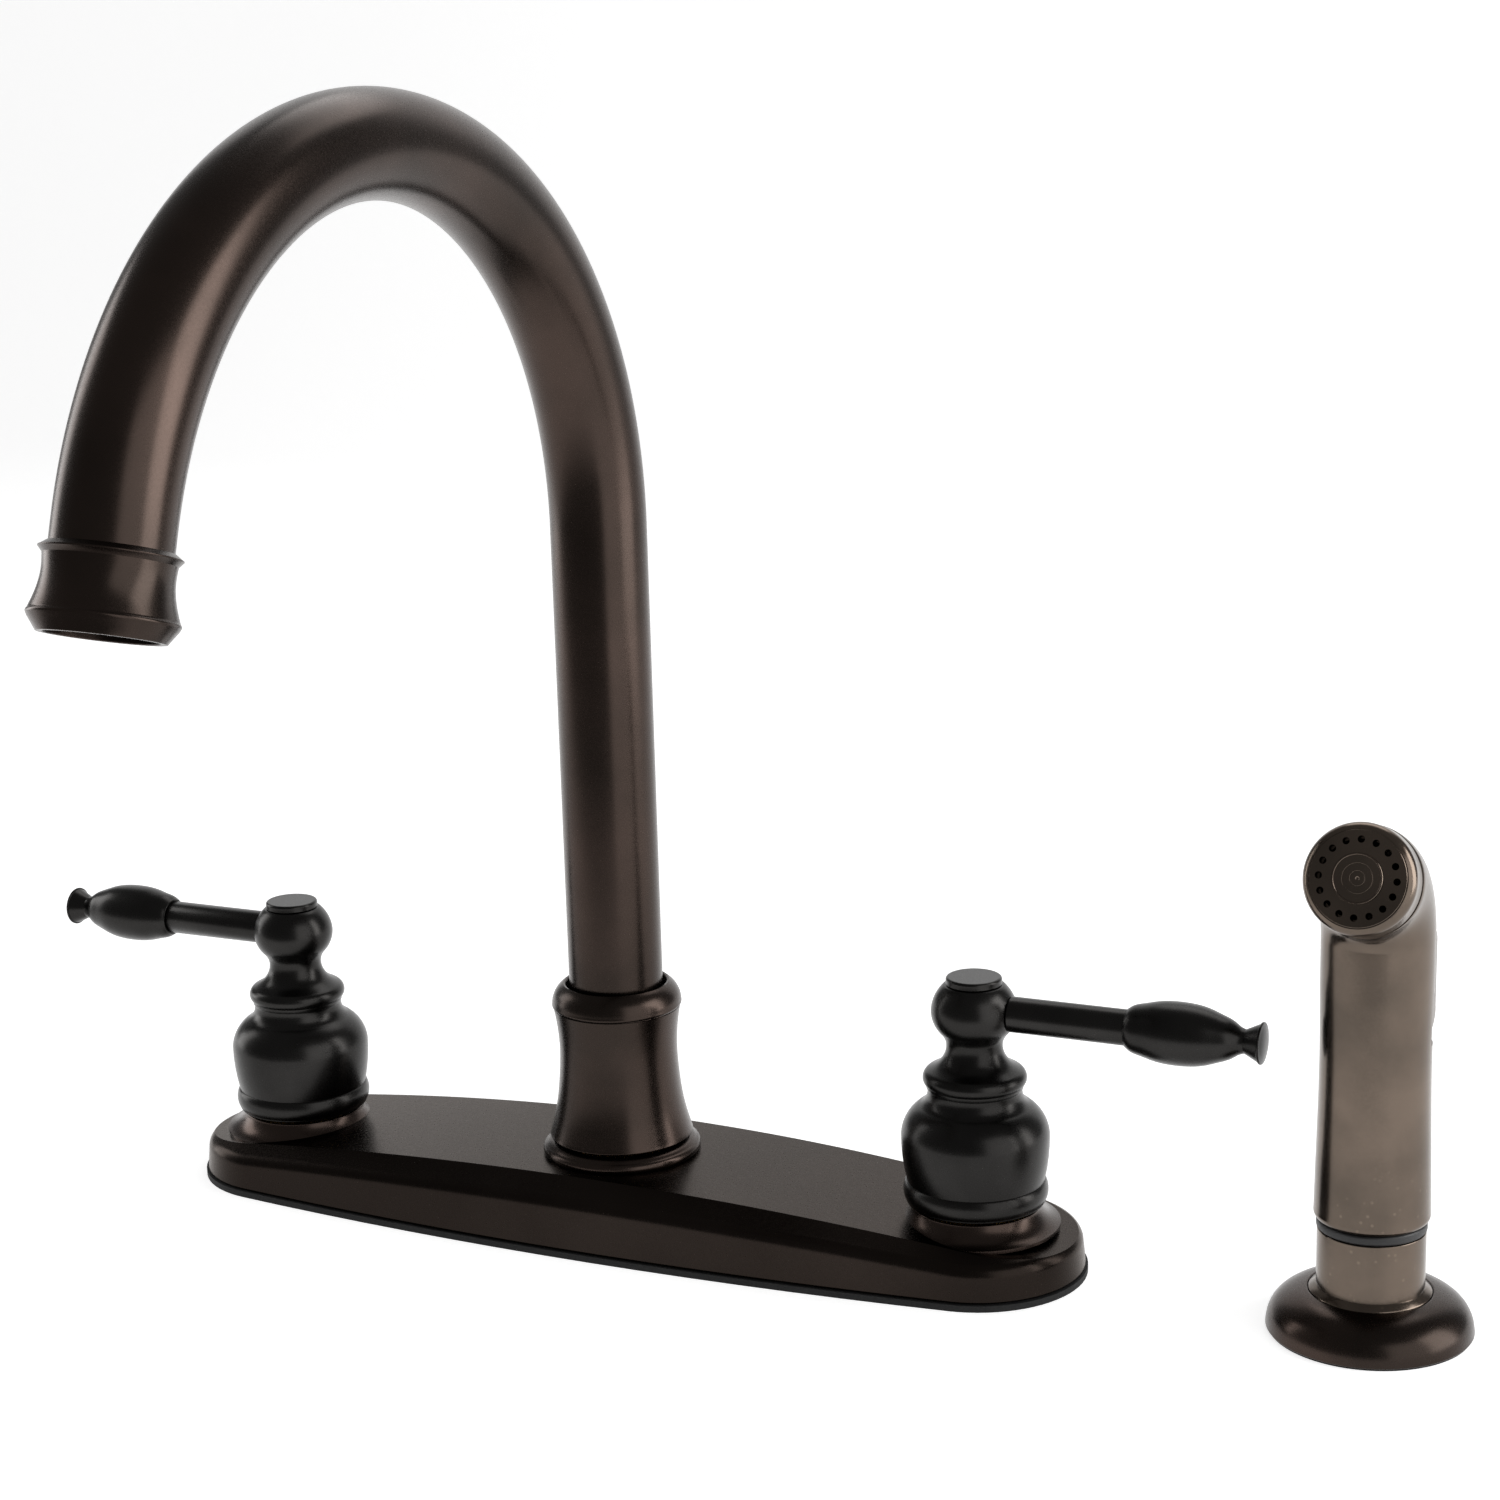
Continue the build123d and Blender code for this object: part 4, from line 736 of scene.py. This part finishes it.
def along_bend(s, t):
    """Point on the spout's centre line, t round its bend, the way it runs there, and the
    direction across it."""
    heading = Vector((-sin(s.yaw), -cos(s.yaw), 0))
    up = Vector((0, 0, 1))
    point = heading * (s.bend_radius * (1 - cos(t))) + up * (s.bend_start + s.bend_radius * sin(t))
    return point, heading * sin(t) + up * cos(t), heading.cross(up)


class FAUCET_OT_spout(bpy.types.Operator):
    """Gooseneck tube, waisted sleeve and base ring"""
    bl_idname = "faucet.spout"
    bl_label = "Spout"

    def execute(self, context):
        s = context.scene.faucet_spout
        finish_piece(self.tube(s), "spout", "dark_bronze", "spout_tube")
        low, high = SLEEVE_LOW.z / MM, SLEEVE_HIGH.z / MM
        w = s.sleeve_waist / MM
        step = high - 6.4
        outline = trace((17.6, low + 0.1), (18.0, low), (18.9, low),
                        ((19.12, low + 0.08), (19.15, low + 0.4)),
                        [(w + 1.7, low + 6.9), (w + 0.3, low + 17.2), (w, low + 24.7),
                         (w + 0.8, low + 33.2), (16.9, step - 0.3)],
                        (16.6, step - 0.25), (16.55, step - 0.05), (17.0, step),
                        ((17.24, step + 0.35), (17.25, step + 0.85)),
                        ((16.39, high - 2.37), (14.1, high)), (13.6, high - 0.1), (13.4, high - 0.4),
                        (13.4, high - 4), (12.85, high - 4), (12.85, low + 20.8), (14.45, low + 20.8),
                        (14.45, low + 5.5))
        turned("spout_sleeve_turned", outline, "deck", "dark_bronze", "spout_sleeve")
        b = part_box("spout_base_ring")[0].z / MM
        outline = trace((11.1, b), (20.7, b), ((21.2, b + 1.15), (20.2, b + 2.7)),
                        ((19.0, b + 3.6), (17.4, b + 4.03)), (11.1, b + 4.03))
        turned("spout_base_ring_turned", outline, "deck", "dark_bronze", "spout_base_ring")
        return {"FINISHED"}

    def tube(self, s):
        """Tube swept along the riser, the bend and the short straight end."""
        up = Vector((0, 0, 1))
        rise = s.bend_start - TUBE_LOW.z
        line = [(up * (TUBE_LOW.z + rise * i / RISER_STEPS), up) for i in range(RISER_STEPS)]
        for i in range(BEND_STEPS + 1):
            point, way, across = along_bend(s, s.bend_angle * i / BEND_STEPS)
            line.append((point, way))
        line.append((point + way * TUBE_END * MM, way))
        outside = [ring(point, way, across, s.tube_radius) for point, way in line]
        inside = [ring(point, way, across, s.tube_radius - TUBE_WALL * MM) for point, way in line]
        return skin("spout_tube_bent", outside + inside[::-1])


class FAUCET_OT_outlet(bpy.types.Operator):
    """Turned outlet collar with its bead, waist, lip and rim"""
    bl_idname = "faucet.outlet"
    bl_label = "Outlet collar"

    def execute(self, context):
        s = context.scene.faucet_spout
        outline = trace((12.46, 4.25), (12.8, 4.2), (14.1, 5.15), ((14.33, 5.35), (14.2, 5.6)),
                        (13.35, 6.6), [(13.15, 9.5), (13.9, 14.5), (15.0, 17.8)],
                        ((15.28, 18.35), (15.15, 18.75)), (14.9, 19.3), (13.05, 21.9),
                        ((12.95, 22.07), (12.75, 22.1)), (11.8, 22.1), (11.6, 21.9), (11.6, 12.05),
                        (12.46, 12.05))
        mouth = aimed(*along_bend(s, s.bend_angle))
        turned("outlet_collar", outline, "spout", "dark_bronze", "aerator_housing", mouth)
        return {"FINISHED"}


# ---------------------------------------------------------------- handles
LEVER_AROUND = 96  # points round a lever's rod and grip


class FAUCET_OT_handles(bpy.types.Operator):
    """Hubs, caps, lever rods and grips of both handles"""
    bl_idname = "faucet.handles"
    bl_label = "Handles"

    def execute(self, context):
        s = context.scene.faucet_handle
        for side, name in SIDES:
            turn = Matrix.Rotation(0 if side > 0 else pi, 4, "Z")
            place = Matrix.Translation((side * HANDLE_X, 0, 0)) @ turn
            along = place @ Matrix.Translation((0, 0, s.lever_height)) @ Matrix.Rotation(pi / 2, 4, "Y")
            self.hub(s, place, along, name)
            self.cap(place, name)
            self.lever(s, along, name)
        return {"FINISHED"}

    def hub(self, s, place, along, name):
        """Bell, collar and ball in one, with the lever's socket drilled in the ball."""
        b, top = HUB_LOW.z / MM, HUB_HIGH.z / MM
        c, bell, ball = s.lever_height / MM, s.bell_radius / MM, s.ball_radius / MM
        outline = trace((15.8, b + 0.1), (15.95, b), (17.4, b), ((17.68, b + 0.1), (17.8, b + 0.4)),
                        ((18.5, b + 2.8), (17.8, b + 5.6)), (17.6, b + 5.75), (17.65, b + 5.95),
                        ((bell - 0.28, b + 11.8), (bell, b + 17.8)),
                        ((bell - 1.15, b + 21.7), (14.57, b + 25.2)),
                        ((12.6, b + 27.0), (12.08, b + 29.9)), (12.28, b + 30.15), (12.4, b + 30.95),
                        ((13.2, b + 32.9), (11.9, b + 34.9)),
                        [(9.4, b + 36.4), (7.5, c - 11.2), (7.15, c - 9.0), (7.41, c - 7.6),
                         (8.34, c - 6.0)],
                        ((ball - 0.73, c - 3.4), (ball, c + 0.1)),
                        ((ball - 0.98, c + 3.8), (7.75, top - 0.15)), (7.45, top),
                        (5.05, top), (5.05, top - 5.2), (4.0, top - 5.2), (4.0, c - 9.4), (2.2, c - 9.4),
                        (2.2, 48), (3.55, 48), (3.55, b + 19.5), (8.5, b + 19.5), (15.8, b + 15))
        hub = lathe(name + "_hub_turned", outline, place)
        combine(hub, cylinder("socket", 4.95, 9.7, 14, along))
        finish_piece(hub, name + "_handle", "black_bronze", name + "_hub")

    def cap(self, place, name):
        """Plain cap in the top of the hub."""
        top = HUB_HIGH.z / MM
        outline = trace((0, top - 4.8), (5.0, top - 4.8), (5.0, top + 0.1), (6.9, top + 0.1),
                        ((7.08, top + 0.18), (7.15, top + 0.4)), (7.1, top + 1.25),
                        ((6.93, top + 1.78), (6.4, top + 2.0)), (0, top + 2.0))
        turned(name + "_cap_turned", outline, name + "_handle", "black_bronze", name + "_index_cap",
               place)

    def lever(self, s, along, name):
        """Straight rod out of the ball, and the long grip with its button end."""
        end, g = s.lever_length / MM, s.grip_radius / MM
        d = end - s.grip_length / MM
        outline = trace((0, 5.0), (3.0, 5.0), (3.0, 9.75), (4.1, 9.75), ((4.38, 9.85), (4.5, 10.15)),
                        (4.5, d - 0.3), (4.35, d), (3.0, d), (3.0, d + 11), (0, d + 11))
        turned(name + "_rod_turned", outline, name + "_handle", "black_bronze", name + "_lever_rod",
               along, LEVER_AROUND)
        outline = trace((0, d + 11.3), (3.05, d + 11.3), (3.05, d + 0.02), (4.8, d + 0.02),
                        ((4.98, d + 0.06), (5.05, d + 0.2)),
                        [(g - 2.25, d + 1.0), (g - 1.35, d + 3.8), (g - 0.45, d + 7.5), (g, d + 12.5),
                         (g - 0.17, d + 16.5), (g - 0.8, d + 20.0), (g - 2.0, d + 23.5),
                         (g - 3.25, d + 26.5), (3.2, d + 28.9), (3.0, end - 5.1)],
                        (4.85, end - 1.35), ((5.2, end - 1.15), (5.2, end - 0.9)),
                        ((5.1, end - 0.74), (4.95, end - 0.68)), ((3.0, end - 0.2), (1.0, end)), (0, end))
        turned(name + "_grip_turned", outline, name + "_handle", "black_bronze", name + "_lever_grip",
               along, LEVER_AROUND)


# ---------------------------------------------------------------- sprayer
SPRAYER_PLACE = Matrix.Translation((SPRAYER_X, 0, 0))
# the trigger's pin is 6 mm behind the wand's axis, 96.5 mm above the sink
PIN_PLACE = Matrix.Translation((SPRAYER_X, 6 * MM, 96.5 * MM)) @ Matrix.Rotation(pi / 2, 4, "Y")
PLUNGER_HEIGHT = 86
PAST = 30  # millimetres, farther out than any side of the wand
ELBOW_STEPS = 36


class FAUCET_OT_sprayer_base(bpy.types.Operator):
    """Sprayer flange, guide and hose coupling"""
    bl_idname = "faucet.sprayer_base"
    bl_label = "Sprayer base"

    def execute(self, context):
        outline = trace((11.05, 0.5), (24.5, 0.5), ((24.85, 0.62), (24.95, 0.95)),
                        [(24.55, 3.4), (23.1, 6.3), (20.55, 8.55), (17.05, 10.08), (15.3, 10.47)],
                        (15.05, 10.4), (15.05, 9.5), (11.05, 9.5))
        turned("sprayer_flange_turned", outline, "deck", "dark_bronze", "sprayer_flange", SPRAYER_PLACE)
        outline = trace((8.5, -35), (11.0, -35), (11.0, 9.5), (14.6, 9.5), (14.8, 9.65),
                        (14.8, 10.4), (14.65, 10.65), (13.35, 11.4), (13.0, 11.75), (13.0, 26.05),
                        ((12.93, 26.23), (12.75, 26.3)), (11.15, 26.3), (10.95, 26.1), (10.95, 14.0),
                        (8.5, 14.0))
        turned("sprayer_guide_turned", outline, "deck", "spray_bronze", "sprayer_guide", SPRAYER_PLACE)
        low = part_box("coupling_collar")[0].z / MM
        outline = trace((4, low), (10.1, low), (10.87, low + 1.1), (10.87, 26.35), (12.4, 26.35),
                        ((12.95, 26.6), (13.2, 27.0)), (13.2, 28.3), ((13.02, 28.68), (12.6, 28.85)),
                        (9, 28.85), (9, 40.45), (4, 40.45))
        turned("coupling_turned", outline, "coupling", "black_plastic", "coupling_collar", SPRAYER_PLACE)
        return {"FINISHED"}


class FAUCET_OT_wand(bpy.types.Operator):
    """Sprayer wand, bezel, face, centre and trigger"""
    bl_idname = "faucet.wand"
    bl_label = "Sprayer wand"

    def execute(self, context):
        s = context.scene.faucet_sprayer
        way = Vector((0, -cos(s.head_tilt), sin(s.head_tilt)))
        head = aimed(Vector((SPRAYER_X, 0, s.elbow_height)), way, Vector((1, 0, 0)))
        self.body(s, head)
        self.face(s, head)
        self.trigger()
        return {"FINISHED"}

    def body(self, s, head):
        """Wand swept up its elbow, with the trigger's seat and the water's ways cut in it."""
        b, r = WAND_LOW.z / MM, s.wand_radius / MM
        across = Vector((1, 0, 0))
        outline = trace((12.9, b), ((13.65, b + 0.7), (13.9, b + 2.0)),
                        [(13.58, b + 16), (13.14, b + 40), (r, b + 58)])
        bend, turn = s.elbow_radius, pi / 2 - s.head_tilt
        start = s.elbow_height - bend * tan(turn / 2)
        foot = Vector((SPRAYER_X, 0, 0))
        line = [(foot + Vector((0, 0, z * MM)), Vector((0, 0, 1)), radius * MM) for radius, z in outline]
        for i in range(ELBOW_STEPS + 1):
            t = turn * i / ELBOW_STEPS
            centre = foot + Vector((0, -bend * (1 - cos(t)), start + bend * sin(t)))
            line.append((centre, Vector((0, -sin(t), cos(t))), r * MM))
        for along, radius in ((14.4, r), (14.7, r - 0.1), (14.8, r - 0.35)):
            line.append((head @ Vector((0, 0, along * MM)), line[-1][1], radius * MM))
        rings = [ring(centre, way, across, radius, 112) for centre, way, radius in line]
        wand = skin("wand_moulded", rings, closed=False)
        self.cut_seat(wand)
        self.cut_ways(wand, head, b)
        finish_piece(wand, "wand", "spray_bronze", "wand_body")

    def cut_seat(self, wand):
        """Flat back and cheeks where the trigger straddles the wand, and room for its swing."""
        x = SPRAYER_X / MM
        core, front, back = 9.1, 2.0, 8.5
        low, high, swing = 73.5, 101.5, 86.5
        combine(wand, block("back", (x - PAST, back, low), (x + PAST, PAST, high)))
        for side in (-1, 1):
            near, far = sorted((x + side * core, x + side * PAST))
            combine(wand, block("cheek", (near, front, low), (far, PAST, high)))
        corners = block("corners", (x - PAST, 0, low), (x + PAST, PAST, swing))
        kept = cylinder("kept", 13.4, low - 1, swing + 0.5,
                        Matrix.Translation((SPRAYER_X, -3.5 * MM, 0)), 96)
        combine(wand, combine(corners, kept))

    def cut_ways(self, wand, head, low):
        """Water's way up the wand, and the bores of the plunger, the pin and the mouth."""
        hose, way, step, top = 9.08, 4.2, 41.85, 108
        outline = [(0, low - 1), (hose, low - 1), (hose, step), (way, step), (way, top), (0, top)]
        combine(wand, lathe("bore", outline, SPRAYER_PLACE, 64))
        back = Matrix.Translation((SPRAYER_X, 0, PLUNGER_HEIGHT * MM)) @ Matrix.Rotation(-pi / 2, 4, "X")
        outline = [(0, -8.15), (2.58, -8.15), (2.58, 4.3), (3.7, 4.3), (3.7, 9), (0, 9)]
        combine(wand, lathe("plunger_bore", outline, back, 48))
        combine(wand, cylinder("pin_bore", 1.55, -14, 14, PIN_PLACE, 32))
        combine(wand, cylinder("mouth", 10.9, 8.3, 16, head))

    def face(self, s, head):
        """Bezel, the plate with its ring of nozzles, and the centre boss."""
        outline = trace((9.35, 9.5), (10.85, 9.5), (10.85, 15.7), (12.85, 15.7),
                        ((13.12, 15.8), (13.2, 16.1)), (13.2, 20.4), ((12.75, 22.2), (11.6, 23.2)),
                        (11.35, 23.15), (11.35, 20.7), (9.35, 20.7))
        turned("bezel_turned", outline, "wand", "spray_bronze", "spray_bezel", head)
        outline = trace((4.05, 20.7), (11.3, 20.7), (11.3, 23.2), (11.2, 23.3), (4.05, 23.3))
        plate = lathe("spray_face_plate", outline, head)
        circle_radius = 9.02 * MM
        for i in range(s.nozzles):
            t = pi / 2 + 2 * pi * i / s.nozzles
            hole = head @ Matrix.Translation((circle_radius * cos(t), circle_radius * sin(t), 0))
            outline = [(0, 20), (0.75, 20), (0.75, 23.1), (0.95, 23.5), (0, 23.5)]
            combine(plate, lathe("nozzle", outline, hole, 20))
        finish_piece(plate, "wand", "spray_bronze", "spray_face")
        outline = trace((0, 18.7), (5.4, 18.7), (5.4, 20.7), (4, 20.7), (4, 23.3), (5.9, 23.3),
                        (5.9, 23.85), (5.8, 23.98), (5.55, 24.0), (5.45, 23.9), (5.4, 23.62),
                        (5.2, 23.6), (3.62, 23.56), (3.58, 23.53), (3.5, 23.53), (3.46, 23.56),
                        (1.82, 23.55), (1.78, 23.52), (1.7, 23.52), (1.66, 23.55), (0.5, 23.55),
                        (0.3, 23.42), (0, 23.4))
        centre = lathe("spray_centre_turned", outline, head, 96, smooth=12)
        finish_piece(centre, "wand", "spray_bronze", "spray_centre")

    def trigger(self):
        """Channel that straddles the wand's back, with two ears round the pin."""
        low, high, half_width, inside = 75.5, 100.0, 11.7, 9.7
        x = SPRAYER_X / MM
        outline = trace((0, low), (13.4, low), ((14.9, low + 1.4), (15.6, low + 5)), (15.6, high - 4),
                        ((15.1, high - 1.3), (14.0, high)), (0, high))
        form = lathe("trigger_moulded", outline, SPRAYER_PLACE, 112)
        keep = block("keep", (x - half_width, 5.4, low - 1), (x + half_width, PAST, high + 1))
        ear = cylinder("ear", 3, -half_width, half_width, PIN_PLACE)
        combine(form, combine(keep, ear, "UNION"), "INTERSECT")
        room = cylinder("room", 13.6, low - 2, high + 2, SPRAYER_PLACE, 112)
        limit = block("limit", (x - inside, -1, low - 3), (x + inside, PAST, high + 3))
        combine(form, combine(room, limit, "INTERSECT"))
        combine(form, cylinder("pin_hole", 1.58, -14, 14, PIN_PLACE, 32))
        finish_piece(form, "trigger", "spray_bronze", "trigger")


# ---------------------------------------------------------------- below the sink
# threads of the half inch shanks and the quarter inch nipple, in millimetres
SHANK_THREAD = {"bore": 6.0, "pitch": 1.81, "depth": 0.9}
NIPPLE_THREAD = {"bore": 3.5, "pitch": 1.41, "depth": 0.7}


def threaded(name, runs, place, bore, pitch, depth):
    """Tube with a helical thread on each run of (low, high, radius), in millimetres. A run that
    is under three pitches long is a plain groove."""
    around, rows_per_turn = 40, 6
    outlines = []
    for low, high, radius in runs:
        rows = max(1, int((high - low) / pitch * rows_per_turn))
        cut = depth if high - low > 3 * pitch else 0
        for k in range(rows + 1):
            z = low + (high - low) * k / rows
            fade = min(1.0, (z - low) / pitch, (high - z) / pitch)
            outlines.append([(radius - cut * fade * abs(2 * ((z / pitch - i / around) % 1) - 1), z)
                             for i in range(around)])
    outlines += [[(bore, z)] * around for z in (runs[-1][1], runs[0][0])]
    rings = [[place @ Vector((r * c, r * s, z)) * MM for (r, z), (c, s) in zip(row, circle(around))]
             for row in outlines]
    return skin(name, rings, smooth=50)


class FAUCET_OT_shanks(bpy.types.Operator):
    """Threaded supply shanks and the hose outlet nipple below the sink"""
    bl_idname = "faucet.shanks"
    bl_label = "Shanks"

    def execute(self, context):
        for node in ("hot_supply_shank", "cold_supply_shank", "hose_outlet_nipple"):
            low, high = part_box(node)
            x, low, high = (low.x + high.x) / 2 / MM, low.z / MM, high.z / MM
            if node == "hose_outlet_nipple":
                thread, runs = NIPPLE_THREAD, [(low, high, 6.55)]
            else:
                thread = SHANK_THREAD
                runs = [(low, -23.0, 10.45), (-22.8, -21.2, 9.6), (-21.0, high, 11.0)]
            place = Matrix.Translation((x, 0, 0))
            piece = threaded(node + "_threaded", runs, place, **thread)
            finish_piece(piece, "deck", "raw_brass", node)
        return {"FINISHED"}


class FAUCET_OT_inner_parts(bpy.types.Operator):
    """Finishes for the solids that are shown as they are"""
    bl_idname = "faucet.inner_parts"
    bl_label = "Inner parts"

    def execute(self, context):
        for part in frame["record"]["subparts"]:
            node = frame["nodes"][part["node"]]
            node.data.materials.clear()
            node.data.materials.append(finish(part["material_slot"]))
        return {"FINISHED"}


class FAUCET_PT_panel(bpy.types.Panel):
    """The faucet's pieces, in the sidebar"""
    bl_idname = "FAUCET_PT_panel"
    bl_label = "Kitchen faucet"
    bl_space_type = "VIEW_3D"
    bl_region_type = "UI"
    bl_category = "Faucet"

    def draw(self, context):
        for name in OPERATORS:
            self.layout.operator("faucet." + name)
        for group in GROUPS:
            box = self.layout.box()
            settings = getattr(context.scene, group)
            for key in settings.__annotations__:
                box.prop(settings, key)


GROUPS = {
    "faucet_spout": FaucetSpoutSettings,
    "faucet_plate": FaucetPlateSettings,
    "faucet_handle": FaucetHandleSettings,
    "faucet_sprayer": FaucetSprayerSettings,
    "faucet_finish": FaucetFinishSettings,
    "faucet_studio": FaucetStudioSettings,
}
OPERATORS = ["studio", "plate", "spout", "outlet", "handles", "sprayer_base", "wand", "shanks",
             "inner_parts"]
CLASSES = [*GROUPS.values(), FAUCET_OT_studio, FAUCET_OT_plate, FAUCET_OT_spout, FAUCET_OT_outlet,
           FAUCET_OT_handles, FAUCET_OT_sprayer_base, FAUCET_OT_wand, FAUCET_OT_shanks,
           FAUCET_OT_inner_parts, FAUCET_PT_panel]


def register():
    for cls in CLASSES:
        bpy.utils.register_class(cls)
    for name, group in GROUPS.items():
        setattr(bpy.types.Scene, name, PointerProperty(type=group))


def unregister():
    for name in GROUPS:
        delattr(bpy.types.Scene, name)
    for cls in reversed(CLASSES):
        bpy.utils.unregister_class(cls)


def main():
    register()
    for name in OPERATORS:
        getattr(bpy.ops.faucet, name)()


if __name__ == "__main__":
    main()
